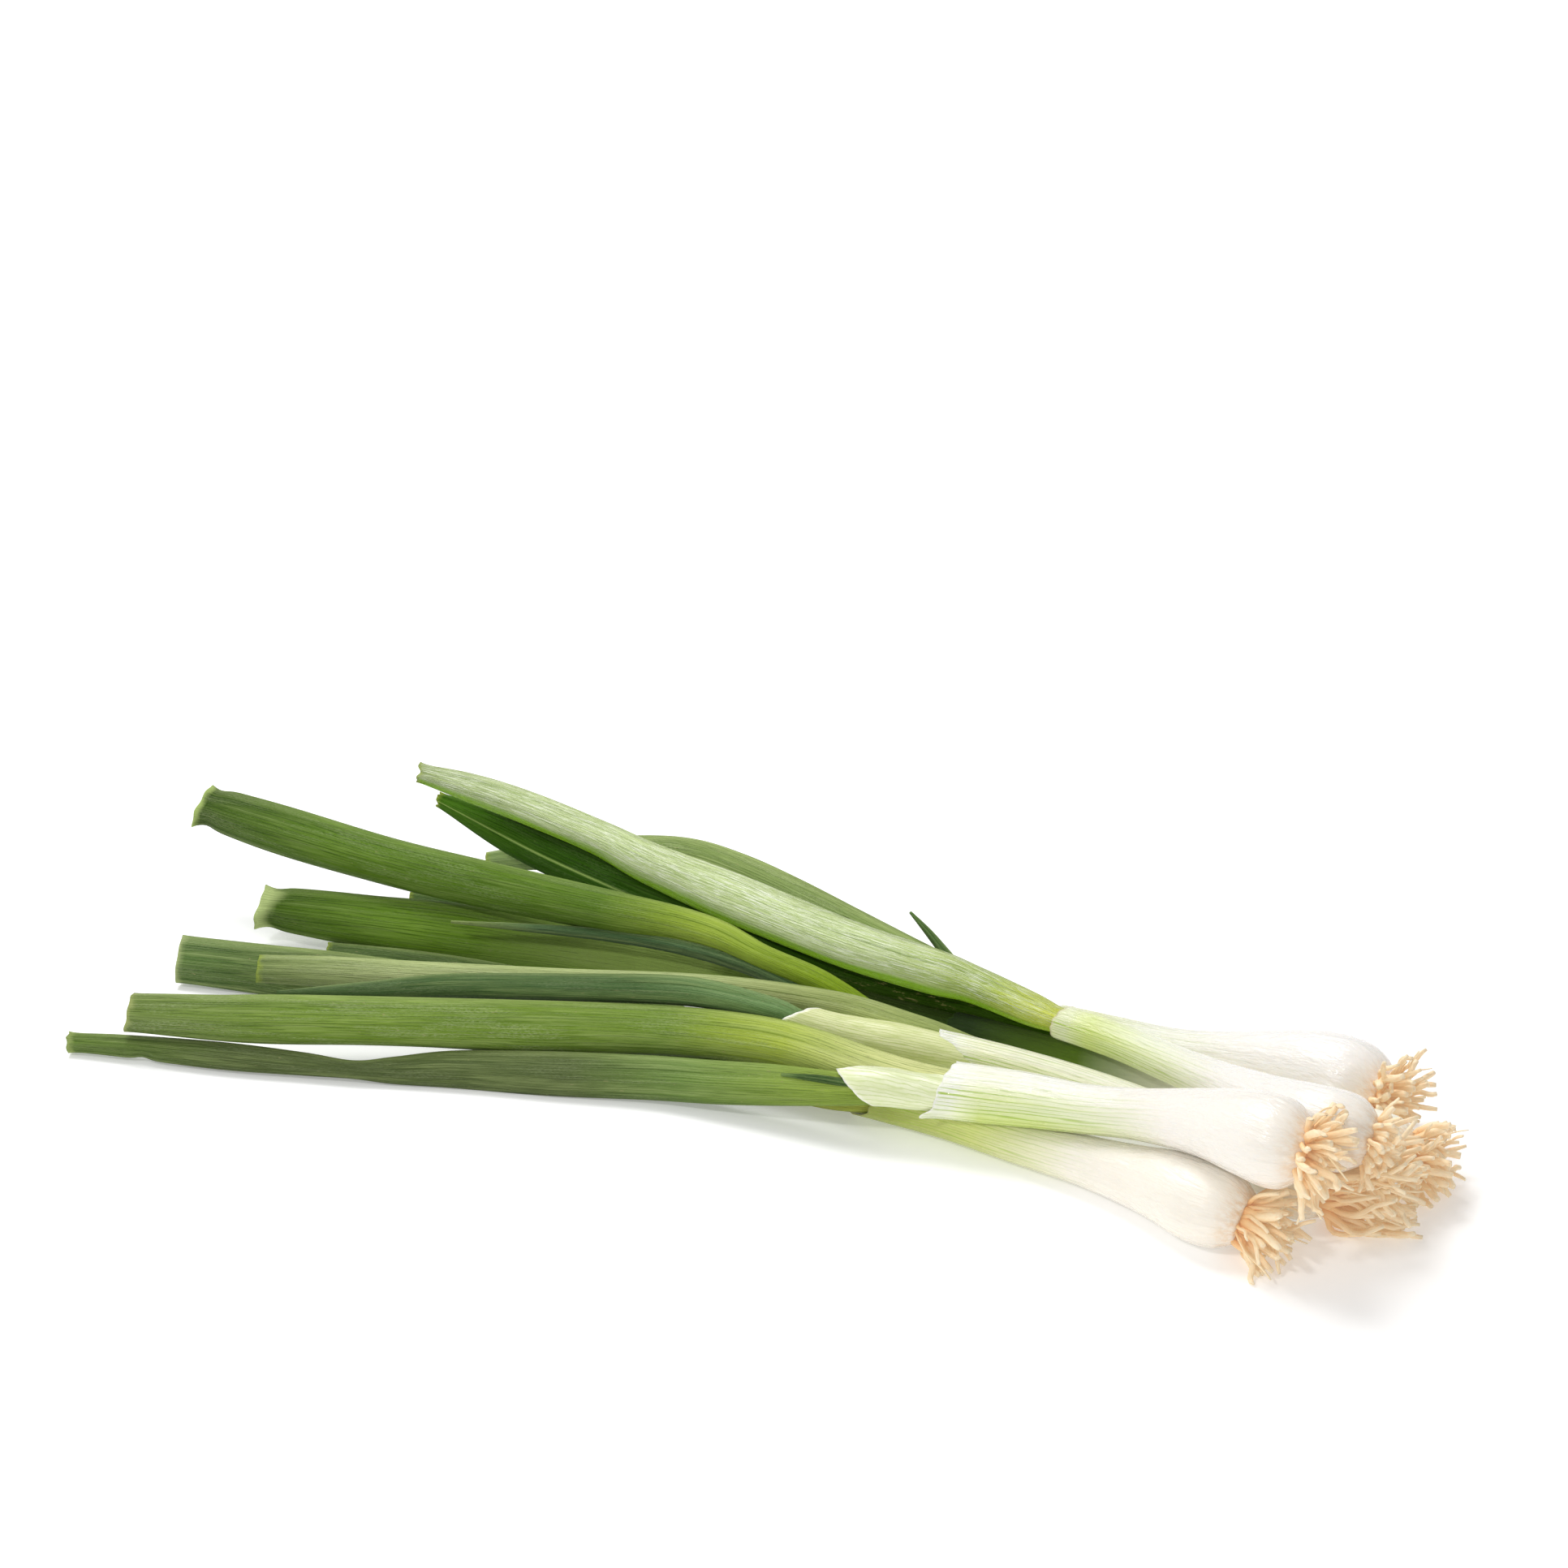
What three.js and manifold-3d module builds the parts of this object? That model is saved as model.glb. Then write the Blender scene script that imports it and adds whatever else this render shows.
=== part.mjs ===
// A bunch of six spring onions lying on its side: bulbs and cut roots toward +X, leaves toward -X.
// Millimetres, +Z up, the surface the bunch lies on is Z = 0.
import * as THREE from 'three';
import { mergeVertices } from 'three/addons/utils/BufferGeometryUtils.js';
import Module from 'manifold-3d';

const wasm = await Module();
wasm.setup();

// Driving dimensions
const MIDDLE_X = 3.11;       // middle of the layout below, which moves to the origin
const MIDDLE_Y = 4.18;
const GAP = 0.3;             // free space between neighbouring pieces
const LEAN = -50;            // degrees: the broad side of a leaf is turned this far from level
const SHANK_SIDES = 12;
const SHANK_STEPS = 15;
const LEAF_SIDES = 10;
const LEAF_STEPS = 14;
const YOUNG_SIDES = 6;
const YOUNG_STEPS = 8;
const RIB_DEPTH = 0.035;     // every second edge of a leaf is sunk by this share of its radius
const WALL = 1.3;            // wall round the hollow in a cut leaf end
const HOLLOW_SHARE = 0.035;  // length of that hollow as a share of the leaf
const FLOOR_SIZE = 900;
const FRAME_STEP = 0.01;     // share of a strand over which its direction is measured
const MERGE_DISTANCE = 0.001;

// Roots
const ROOTS_PER_TUFT = 20;
const ROOT_SIDES = 3;
const ROOT_STEPS = 3;
const ROOT_WIDTH = 2.2;
const ROOT_TAPER = 0.25;
const ROOT_SAG = 2.5;
const ROOT_WANDER = 2.6;
const ROOT_REACHES = [0, 0.35, 0.7, 1];
const SHORTEST_ROOT = 0.75;  // share of the tuft's root length
const LENGTH_RANGE = 0.35;
const EVEN_SPLAY = 0.8;      // share of the tuft's spread given by the root's place on the plate
const RANDOM_SPLAY = 0.25;
const PLATE_SIDES = 10;
const PLATE_PROFILE = [[GAP, 11], [1.5, 9.5], [3, 5.5]];   // height over the bulb and width
const PLATE_WIDTH = PLATE_PROFILE[0][1];
const BULB_SHARE = 0.5;      // the part of a shank that roots of its neighbours keep clear of
const BULB_CHECKS = 10;
const GOLDEN_ANGLE = Math.PI * (3 - Math.sqrt(5));

// Length of the roots, how many degrees they open round the bulb's axis, and the way they sweep
const TUFTS = {
  shank_a: { length: 14, spread: 62, sweep: [0.2, 0, -0.2] },
  shank_b: { length: 11, spread: 76, sweep: [0, 0, -0.15] },
  shank_c: { length: 8, spread: 66, sweep: [-0.1, -0.1, -0.1] },
  shank_d: { length: 12, spread: 68, sweep: [-0.1, 0.1, 0.25] },
  shank_e: { length: 24, spread: 42, sweep: [0.2, 0.4, 0.1] },
  shank_f: { length: 14, spread: 66, sweep: [0, -0.15, 0.05] },
};

// Stations from the root plate to the collar: x, y, z, width, thickness
const SHANKS = {
  shank_a: [
    [138, -49, 9, 13, 13], [133, -48, 9.7, 19, 19], [126, -46, 9.7, 20.2, 20.2], [118, -42, 9.4, 18.4, 18.4],
    [109, -38, 8.3, 15.5, 15.5], [95, -33, 7, 12.7, 12.7], [76, -28, 5.9, 11.2, 11.2],
    [57, -23, 5.4, 10.5, 10.5], [38, -20, 5.2, 10.2, 10.2],
  ],
  shank_b: [
    [152, -50, 31, 13, 13], [146, -49, 31, 21.5, 21.5], [137, -45, 30, 21, 21], [124, -38, 26.5, 16.5, 16.5],
    [108, -32, 22, 13, 13], [93, -29, 18.8, 12.4, 12], [76, -26, 16.5, 14, 11.6], [57, -26, 15.5, 14.6, 11.4],
  ],
  shank_c: [
    [163, -32, 25.5, 12, 12], [158, -32, 26.6, 19, 19], [149, -30, 26.8, 19, 19], [136, -22, 24.7, 15, 15],
    [121, -10, 21, 11.4, 11.4], [106, 1, 18, 9.8, 9.8], [91, 10, 16.2, 9.2, 9.2], [75, 16, 15.5, 9.2, 9.2],
  ],
  shank_d: [
    [158, 14, 10.4, 13, 13], [151, 17, 11, 22.2, 22.2], [141, 20, 11, 22.2, 22.2],
    [127, 23.5, 9.3, 17.4, 17.4], [113, 26.5, 7.2, 13, 13], [100, 28.5, 6, 10.8, 10.8],
    [85, 31, 5.5, 10, 10], [69, 33, 5.1, 9.8, 9.8],
  ],
  shank_e: [
    [153, -31, 8.6, 12, 12], [147, -30, 9, 17, 17], [137, -25, 8.4, 16.8, 16.8],
    [126, -17.5, 7.8, 13.4, 13.4], [114, -11.5, 8, 11, 11], [101, -7.5, 9.3, 10, 10],
    [83, -5.2, 11, 9.8, 9.8], [66, -4.2, 12.5, 9.6, 9.6], [49, -3.2, 13.2, 9.6, 9.6],
  ],
  shank_f: [
    [169, -8, 8.8, 12, 12], [164, -7, 9, 16.8, 16.8], [157, -4.5, 8.8, 16.8, 16.8],
    [145, 1, 7.4, 13.2, 13.2], [129, 9.5, 6, 10.4, 10.4], [112, 14.5, 5.3, 10, 10], [95, 16, 5.2, 10, 10],
    [76, 17.5, 5.4, 10.4, 10.4], [59, 19.4, 5.4, 9.6, 9.4], [44, 21.2, 5.2, 8.6, 7],
  ],
};

// Stations from the base inside the collar to the cut end: x, y, z, width, thickness
const LEAVES = {
  leaf_a_low: [
    [50, -21.5, 5.4, 6, 5.4], [37, -20, 5.2, 7.4, 6], [22, -19, 4.8, 9.5, 6.4], [-4, -14.5, 4.8, 10.5, 6.6],
    [-37, -9, 5, 12, 7.5], [-75, -6, 5.3, 13.4, 8.4], [-102, -7.5, 5.5, 14, 8.6],
    [-130, -10.5, 5.9, 14.2, 8.2], [-161, -15, 6.6, 13, 5.4],
  ],
  leaf_a_side: [
    [40, -16.5, 6.4, 3.6, 3], [24, -13, 6, 5.6, 4.4], [-8, -3, 5.2, 7.6, 5.4], [-44, 6.5, 4.6, 7.4, 5],
    [-83, 10, 3.8, 6.6, 4.4], [-106, 9.5, 3.6, 6.2, 4], [-128, 7, 3.6, 5.4, 3.4],
  ],
  leaf_b_upper: [
    [70, -26, 16, 8, 6.5], [57, -26, 15.5, 10.4, 8], [46, -24.8, 14.5, 12, 9], [34, -21.8, 14.1, 12.2, 9.2],
    [18, -18.6, 14.9, 12.4, 9.2], [2, -17, 14.5, 12.8, 9], [-24, -19, 13.5, 12.8, 8.6],
    [-60, -29, 13.4, 12.8, 8.6], [-94, -39, 13, 12.9, 8.4], [-125, -47, 12.2, 12.9, 7.8],
    [-155, -54, 12, 10.2, 5],
  ],
  leaf_b_lower: [
    [47, -29.5, 14.2, 5, 4.2], [33, -30.6, 13.2, 8.2, 6.6], [15, -29.7, 10.4, 10.4, 7.6],
    [-2, -29.4, 7.8, 11.2, 8], [-20, -30, 5.9, 11.4, 8.2], [-45, -35, 4.7, 11.2, 8], [-69, -40, 4, 9.6, 7],
    [-84, -44.5, 3.4, 7.2, 5.4], [-94, -47.5, 3.4, 5, 5], [-107, -49.5, 3.6, 6.2, 5],
    [-128, -53, 3.8, 7.3, 5.5], [-154, -56.5, 3.5, 6, 4.5], [-170, -59, 3, 4.8, 4],
  ],
  leaf_b_young: [
    [42, -30.8, 15, 1.8, 1.6], [34, -32, 15.9, 2.2, 1.8], [26, -32, 15.8, 2, 1.6],
    [16, -31, 14.4, 0.8, 0.8],
  ],
  leaf_c_top: [
    [88, 11.5, 16, 5.6, 5.6], [75, 16, 15.5, 6.6, 6.4], [66, 19, 15.8, 8.6, 7.4], [49, 24.5, 17, 9.8, 7],
    [37, 25.5, 18.5, 12.2, 6.5], [12, 28, 21, 13.2, 6], [-21, 36, 24, 13.4, 6], [-49, 44.5, 26, 11.5, 6],
    [-66, 51, 27.5, 9.9, 5.5], [-90, 57, 30, 9.4, 5], [-108, 59, 32.3, 8.2, 4], [-125, 60, 34, 4.8, 2.6],
  ],
  leaf_c_under: [
    [72, 18.8, 12.2, 5.5, 4.6], [58, 23, 11, 8.2, 5], [44, 27, 10.5, 9, 4.8], [21, 28, 11, 9.8, 4.6],
    [-2, 31, 12.8, 11, 4.8], [-22, 34.5, 14.8, 12, 5], [-40, 39, 16.8, 12.5, 5], [-61, 45.5, 18.3, 12.5, 5],
    [-81, 52, 19.8, 12, 5], [-98, 58, 21.5, 10.6, 4.5], [-121, 65, 24, 3.6, 2.6],
  ],
  leaf_c_young: [
    [50, 29, 13, 3.2, 2.6], [43, 33, 15, 3.2, 2.4], [36.5, 38, 17.6, 2.8, 2], [31, 41.5, 20.6, 2.1, 1.5],
    [25, 44.5, 24, 0.8, 0.8],
  ],
  leaf_d_back: [
    [82, 31.5, 5.4, 5.6, 5], [69, 33, 5.2, 7, 5.8], [58, 34.5, 7, 8.6, 6.2], [44, 37, 9.6, 9.4, 6.4],
    [27, 39.5, 13, 11, 6.8], [8, 44, 16.4, 12, 7], [-11, 50, 19, 12.5, 7], [-28, 56, 20.2, 12.5, 7],
    [-45, 62, 19.4, 12, 6.6], [-63, 65, 16.4, 11, 6], [-85, 68, 11, 9, 5], [-107, 66, 6, 5.5, 4],
  ],
  leaf_e_outer: [
    [66, -1.6, 13.6, 3.6, 3.2], [56, -1.6, 14.2, 5.6, 5], [47, -0.9, 14.7, 7.8, 6.6], [38, 0, 15, 9, 7.4],
    [21, 2.5, 16, 8.8, 6.6], [-1, 2.5, 16, 8.5, 6], [-22, -1, 16, 8.5, 6], [-51, -8, 15.5, 8.5, 5.6],
    [-85, -15, 14.8, 8.5, 5.3], [-112, -20, 14.2, 8.4, 4.8], [-132, -25, 14, 7.6, 3.4],
  ],
  leaf_e_inner: [
    [42, -5, 13.4, 3, 2.6], [32, -6.8, 14.4, 4.4, 3.8], [22, -8.2, 16, 5, 4.4], [13, -9.2, 18, 5.2, 4.5],
    [5, -9.5, 19.9, 6.2, 5.4], [-17, -9.9, 20.8, 7.8, 6.8], [-45, -16.5, 20.2, 7.2, 6],
    [-76, -24.5, 19, 6.6, 5.5], [-96, -31.5, 17.6, 5, 4.2], [-119, -39, 16.4, 1.4, 1.2],
  ],
  leaf_e_long: [
    [40, 3.5, 11.5, 3.4, 3], [30, 7, 12.6, 4.6, 4], [18, 12, 14.6, 5.8, 4.8], [8, 15.5, 16, 6.6, 5.4],
    [-7, 18.5, 18, 6.9, 5.5], [-20, 22, 20, 8.5, 6.5], [-32, 23, 21, 9.7, 7.5], [-47, 22, 22, 11, 8.5],
    [-63, 22, 22.5, 12, 9], [-87, 23, 23, 12.8, 9.5], [-116, 24, 24.5, 13.4, 9.5],
    [-150, 27, 27.2, 13.9, 9], [-177, 31, 29, 11.5, 6],
  ],
  leaf_e_young: [
    [20, 9, 12, 3, 2.6], [8, 12.5, 12.8, 3.6, 3], [-11, 17, 15.4, 4.2, 3.4], [-30, 18.5, 16.9, 4.2, 3.4],
    [-50, 18, 17, 3.6, 3], [-71, 15, 16.9, 2.4, 2], [-92, 10, 17.5, 0.8, 0.8],
  ],
  leaf_f_mid: [
    [67, 18.5, 5, 5.4, 5], [54, 20, 5, 6.8, 5.8], [39, 21.5, 5, 8.4, 6], [14, 23.5, 5.4, 10.4, 6.4],
    [-19, 25.5, 6.4, 13, 7.6], [-42, 26, 7, 14.5, 8.5], [-65, 24, 7.6, 15, 9], [-91, 21, 8.6, 15.4, 9],
    [-120, 16, 10, 15.2, 8.8], [-151, 12, 11, 11.5, 5.6],
  ],
  leaf_f_low: [
    [52, 25, 5, 3.6, 3.2], [40, 28, 4.8, 6, 4.8], [10, 34, 4.8, 8.4, 6], [-23, 38, 4.8, 9, 6.4],
    [-57, 41.5, 4.8, 9, 6.4], [-91, 43.5, 4.8, 8.4, 6], [-120, 43.5, 4.8, 6.5, 4],
  ],
};

// Pieces listed earlier keep their shape, later ones are cut clear of them
const YOUNG = ['leaf_b_young', 'leaf_c_young', 'leaf_e_young'];
const CUTTING_ORDER = [
  ...YOUNG,
  'leaf_b_lower', 'leaf_b_upper', 'leaf_e_inner', 'leaf_e_outer', 'leaf_e_long',
  'leaf_c_top', 'leaf_c_under', 'leaf_f_mid', 'leaf_f_low', 'leaf_a_low', 'leaf_a_side', 'leaf_d_back',
  'shank_b', 'shank_c', 'shank_e', 'shank_a', 'shank_f', 'shank_d',
];
const HOLLOW_ENDS = ['leaf_a_low', 'leaf_b_upper', 'leaf_e_long', 'leaf_f_mid'];

const LEAF_COLOURS = {
  leaf_a_low: 0x6f8f62, leaf_a_side: 0x557a48, leaf_b_upper: 0x86ac56, leaf_b_lower: 0x4f7a52,
  leaf_b_young: 0x3f6b45, leaf_c_top: 0x83a866, leaf_c_under: 0x3f6b2c, leaf_c_young: 0x3d6a3e,
  leaf_d_back: 0x4c6f4a, leaf_e_outer: 0x8fae74, leaf_e_inner: 0x5a8160, leaf_e_long: 0x5e8a4a,
  leaf_e_young: 0x5a8468, leaf_f_mid: 0x5b7a35, leaf_f_low: 0x4d7340,
};
const SHANK_COLOUR = 0xf1efdc;
const ROOT_COLOUR = 0xd9b789;

// A curve through all stations, at share t of their number
function stationAt(stations, t) {
  const last = stations.length - 1;
  const place = Math.min(Math.max(t, 0), 1) * last;
  const i = Math.min(Math.floor(place), last - 1);
  const s = place - i;
  const b = stations[i];
  const c = stations[i + 1];
  const a = stations[i - 1] ?? b.map((value, k) => 2 * value - c[k]);
  const d = stations[i + 2] ?? c.map((value, k) => 2 * value - b[k]);
  return b.map((value, k) => 0.5 * (2 * value + (c[k] - a[k]) * s
    + (2 * a[k] - 5 * value + 4 * c[k] - d[k]) * s * s
    + (3 * value - a[k] - 3 * c[k] + d[k]) * s * s * s));
}

// Centre, direction along the strand and the two section axes at share t
function frameAt(stations, t) {
  const here = stationAt(stations, t);
  const ahead = stationAt(stations, t + FRAME_STEP);
  const behind = stationAt(stations, t - FRAME_STEP);
  const point = new THREE.Vector3(here[0] - MIDDLE_X, here[1] - MIDDLE_Y, here[2]);
  const along = new THREE.Vector3(...ahead).sub(new THREE.Vector3(...behind)).normalize();
  const side = new THREE.Vector3(0, 0, 1).cross(along).normalize();
  const up = along.clone().cross(side);
  const lean = THREE.MathUtils.degToRad(LEAN);
  return {
    point,
    along,
    broad: side.clone().multiplyScalar(Math.cos(lean)).addScaledVector(up, Math.sin(lean)),
    narrow: up.clone().multiplyScalar(Math.cos(lean)).addScaledVector(side, -Math.sin(lean)),
    width: here[3],
    thickness: here[4],
  };
}

// A closed solid from a list of equal rings of points
function solidFromRings(rings) {
  const sides = rings[0].length;
  const points = rings.flat();
  const middles = [rings[0], rings.at(-1)].map((ring) => ring
    .reduce((sum, point) => sum.add(point), new THREE.Vector3()).divideScalar(sides));
  const first = points.length;
  const faces = [];
  for (let i = 0; i < rings.length - 1; i += 1) {
    for (let j = 0; j < sides; j += 1) {
      const k = (j + 1) % sides;
      const a = i * sides;
      const b = a + sides;
      faces.push(a + j, a + k, b + k, a + j, b + k, b + j);
    }
  }
  const end = (rings.length - 1) * sides;
  for (let j = 0; j < sides; j += 1) {
    const k = (j + 1) % sides;
    faces.push(first, k, j, first + 1, end + j, end + k);
  }
  const vertProperties = new Float32Array([...points, ...middles].flatMap((point) => point.toArray()));
  return new wasm.Manifold(new wasm.Mesh({ numProp: 3, vertProperties, triVerts: new Uint32Array(faces) }));
}

// One strand: an oval section swept through the stations, grown outward by an allowance
function strand(stations, { sides, steps, grow = 0, ribs = 0, from = 0, to = 1 }) {
  const rings = [];
  for (let i = 0; i <= steps; i += 1) {
    const share = from + (to - from) * i / steps;
    const { point, along, broad, narrow, width, thickness } = frameAt(stations, share);
    const push = i === 0 ? -grow : i === steps ? grow : 0;
    const ring = [];
    for (let j = 0; j < sides; j += 1) {
      const angle = 2 * Math.PI * j / sides;
      const rib = j % 2 ? 1 - ribs : 1;
      ring.push(point.clone()
        .addScaledVector(along, push)
        .addScaledVector(broad, (width / 2 * rib + grow) * Math.cos(angle))
        .addScaledVector(narrow, (thickness / 2 * rib + grow) * Math.sin(angle)));
    }
    rings.push(ring);
  }
  return solidFromRings(rings);
}

function largestBody(solid) {
  return solid.decompose().reduce((best, body) => (body.volume() > best.volume() ? body : best));
}

function options(name) {
  if (name.startsWith('shank')) return { sides: SHANK_SIDES, steps: SHANK_STEPS };
  if (YOUNG.includes(name)) return { sides: YOUNG_SIDES, steps: YOUNG_STEPS };
  return { sides: LEAF_SIDES, steps: LEAF_STEPS, ribs: RIB_DEPTH };
}

// Everything below the surface is cut off, which leaves small flats to rest on
const floorCorners = [[-1, -1], [1, -1], [1, 1], [-1, 1]];
const belowFloor = solidFromRings([-FLOOR_SIZE, 0].map((z) => floorCorners
  .map(([x, y]) => new THREE.Vector3(x * FLOOR_SIZE / 2, y * FLOOR_SIZE / 2, z))));

const strands = { ...LEAVES, ...SHANKS };
const solids = {};
const envelopes = {};
for (const name of CUTTING_ORDER) {
  const stations = strands[name];
  let solid = strand(stations, options(name));
  if (HOLLOW_ENDS.includes(name)) {
    const hollow = { sides: LEAF_SIDES, steps: 2, grow: -WALL, from: 1 - HOLLOW_SHARE };
    const inside = strand(stations, hollow);
    const { along } = frameAt(stations, 1);
    solid = solid.subtract(inside).subtract(inside.translate(along.multiplyScalar(2 * WALL).toArray()));
  }
  for (const envelope of Object.values(envelopes)) {
    solid = solid.subtract(envelope);
  }
  solids[name] = largestBody(solid.subtract(belowFloor));
  envelopes[name] = strand(stations, { ...options(name), grow: GAP, ribs: 0 });
}

// Seeded random numbers from 0 to 1
function randomSource(seed) {
  let state = seed;
  return () => {
    state = (Math.imul(state, 1664525) + 1013904223) >>> 0;
    return state / 4294967296;
  };
}

const plates = Object.fromEntries(Object.entries(SHANKS)
  .map(([name, stations]) => [name, frameAt(stations, 0)]));

// Moves a root point off the surface, off the bulbs and onto its own side of the planes between tufts
function keepClear(point, name, reach) {
  const own = plates[name].point;
  for (const [other, plate] of Object.entries(plates)) {
    if (other === name) continue;
    const toward = plate.point.clone().sub(own).normalize();
    const middle = plate.point.clone().add(own).divideScalar(2);
    const over = point.clone().sub(middle).dot(toward) + reach;
    if (over > 0) point.addScaledVector(toward, -over);
    for (let i = 0; i <= BULB_CHECKS; i += 1) {
      const bulb = frameAt(SHANKS[other], BULB_SHARE * i / BULB_CHECKS);
      const away = point.clone().sub(bulb.point);
      const free = away.length() - bulb.width / 2 - reach;
      if (free < 0) point.addScaledVector(away.normalize(), -free);
    }
  }
  point.z = Math.max(point.z, reach);
  return point;
}

// A flat root plate over the bottom of a bulb
function rootPlate({ point, broad, narrow }, out) {
  return solidFromRings(PLATE_PROFILE.map(([height, width]) => Array.from({ length: PLATE_SIDES }, (_, j) => {
    const angle = -2 * Math.PI * j / PLATE_SIDES;
    return point.clone().addScaledVector(out, height)
      .addScaledVector(broad, width / 2 * Math.cos(angle))
      .addScaledVector(narrow, width / 2 * Math.sin(angle));
  })));
}

// A root plate with its cut roots, fanned evenly from the middle of the plate to its rim
function rootTuft(name, seed) {
  const random = randomSource(seed);
  const { point, along, broad, narrow } = plates[name];
  const tuftFacts = TUFTS[name];
  const out = along.clone().negate();
  const sweep = new THREE.Vector3(...tuftFacts.sweep);
  let tuft = rootPlate(plates[name], out);
  for (let i = 0; i < ROOTS_PER_TUFT; i += 1) {
    const share = (i + 0.5) / ROOTS_PER_TUFT;
    const angle = i * GOLDEN_ANGLE;
    const radial = broad.clone().multiplyScalar(Math.cos(angle)).addScaledVector(narrow, Math.sin(angle));
    const splay = THREE.MathUtils.degToRad(tuftFacts.spread * (EVEN_SPLAY * share + RANDOM_SPLAY * random()));
    const heading = out.clone().multiplyScalar(Math.cos(splay)).addScaledVector(radial, Math.sin(splay))
      .add(sweep).normalize();
    const length = tuftFacts.length * (SHORTEST_ROOT + LENGTH_RANGE * random());
    const wander = new THREE.Vector3(random() - 0.5, random() - 0.5, random() - 0.5)
      .multiplyScalar(2 * ROOT_WANDER);
    const start = point.clone()
      .addScaledVector(out, GAP + ROOT_WIDTH / 2)
      .addScaledVector(radial, (PLATE_WIDTH - 2 * ROOT_WIDTH) / 2 * Math.sqrt(share));
    const stations = ROOT_REACHES.map((reach) => {
      const place = start.clone()
        .addScaledVector(heading, length * reach)
        .addScaledVector(wander, Math.sin(Math.PI * reach))
        .add(new THREE.Vector3(0, 0, -ROOT_SAG * reach * reach));
      if (reach > 0) keepClear(place, name, ROOT_WIDTH / 2 + GAP);
      const width = ROOT_WIDTH * (1 - ROOT_TAPER * reach);
      return [place.x + MIDDLE_X, place.y + MIDDLE_Y, place.z, width, width];
    });
    tuft = tuft.add(strand(stations, { sides: ROOT_SIDES, steps: ROOT_STEPS }));
  }
  for (const envelope of Object.values(envelopes)) {
    tuft = tuft.subtract(envelope);
  }
  return largestBody(tuft.subtract(belowFloor));
}

Object.keys(SHANKS).forEach((name, index) => {
  solids[name.replace('shank', 'roots')] = rootTuft(name, 11 + index);
});

// A named mesh from a solid
function meshOf(name, solid) {
  const { vertProperties, triVerts } = solid.getMesh();
  let geometry = new THREE.BufferGeometry();
  geometry.setAttribute('position', new THREE.BufferAttribute(vertProperties, 3));
  geometry.setIndex(new THREE.BufferAttribute(triVerts, 1));
  geometry = mergeVertices(geometry, MERGE_DISTANCE);
  geometry.computeVertexNormals();
  const kind = name.split('_')[0];
  const colour = { leaf: LEAF_COLOURS[name], shank: SHANK_COLOUR, roots: ROOT_COLOUR }[kind];
  const roughness = { leaf: 0.5, shank: 0.3, roots: 0.8 }[kind];
  const material = new THREE.MeshStandardMaterial({ color: colour, roughness, metalness: 0 });
  const mesh = new THREE.Mesh(geometry, material);
  mesh.name = name;
  return mesh;
}

const group = new THREE.Group();
group.name = 'spring_onion_bunch';
for (const plant of ['a', 'b', 'c', 'd', 'e', 'f']) {
  const onion = new THREE.Group();
  onion.name = `onion_${plant}`;
  for (const [name, solid] of Object.entries(solids)) {
    if (name.split('_')[1] === plant) onion.add(meshOf(name, solid));
  }
  group.add(onion);
}

export default group;
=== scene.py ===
"""The looks of a bunch of six spring onions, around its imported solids. Metres, +Z up."""

import math
from functools import partial

import bpy
import numpy as np
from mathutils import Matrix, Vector


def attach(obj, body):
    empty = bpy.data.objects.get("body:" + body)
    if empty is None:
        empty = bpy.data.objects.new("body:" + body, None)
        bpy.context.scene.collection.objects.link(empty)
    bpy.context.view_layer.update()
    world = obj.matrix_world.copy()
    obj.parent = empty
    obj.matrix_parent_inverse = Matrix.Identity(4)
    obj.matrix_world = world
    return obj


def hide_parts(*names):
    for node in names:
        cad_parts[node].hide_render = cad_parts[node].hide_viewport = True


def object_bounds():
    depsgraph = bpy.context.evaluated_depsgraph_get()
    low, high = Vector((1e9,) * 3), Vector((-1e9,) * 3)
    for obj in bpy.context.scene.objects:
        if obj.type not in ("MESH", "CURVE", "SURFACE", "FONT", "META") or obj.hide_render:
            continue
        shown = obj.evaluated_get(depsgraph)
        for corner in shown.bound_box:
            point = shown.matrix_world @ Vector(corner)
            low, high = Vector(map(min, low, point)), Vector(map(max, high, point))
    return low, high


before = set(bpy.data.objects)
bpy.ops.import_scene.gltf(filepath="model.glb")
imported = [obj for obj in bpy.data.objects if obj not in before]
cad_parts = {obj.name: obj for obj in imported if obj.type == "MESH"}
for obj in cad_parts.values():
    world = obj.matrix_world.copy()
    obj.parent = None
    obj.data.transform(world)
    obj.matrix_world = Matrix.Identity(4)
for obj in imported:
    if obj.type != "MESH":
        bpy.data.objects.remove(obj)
cad_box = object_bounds()
scene = bpy.context.scene

MM = 0.001
MIDDLE = np.array([3.11, 4.18, 0.0])  # middle of the layout, in mm, which lies over the origin
LEAN = math.radians(-50)  # the broad side of a leaf is turned this far from level
GOLDEN_ANGLE = math.pi * (3 - math.sqrt(5))

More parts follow.
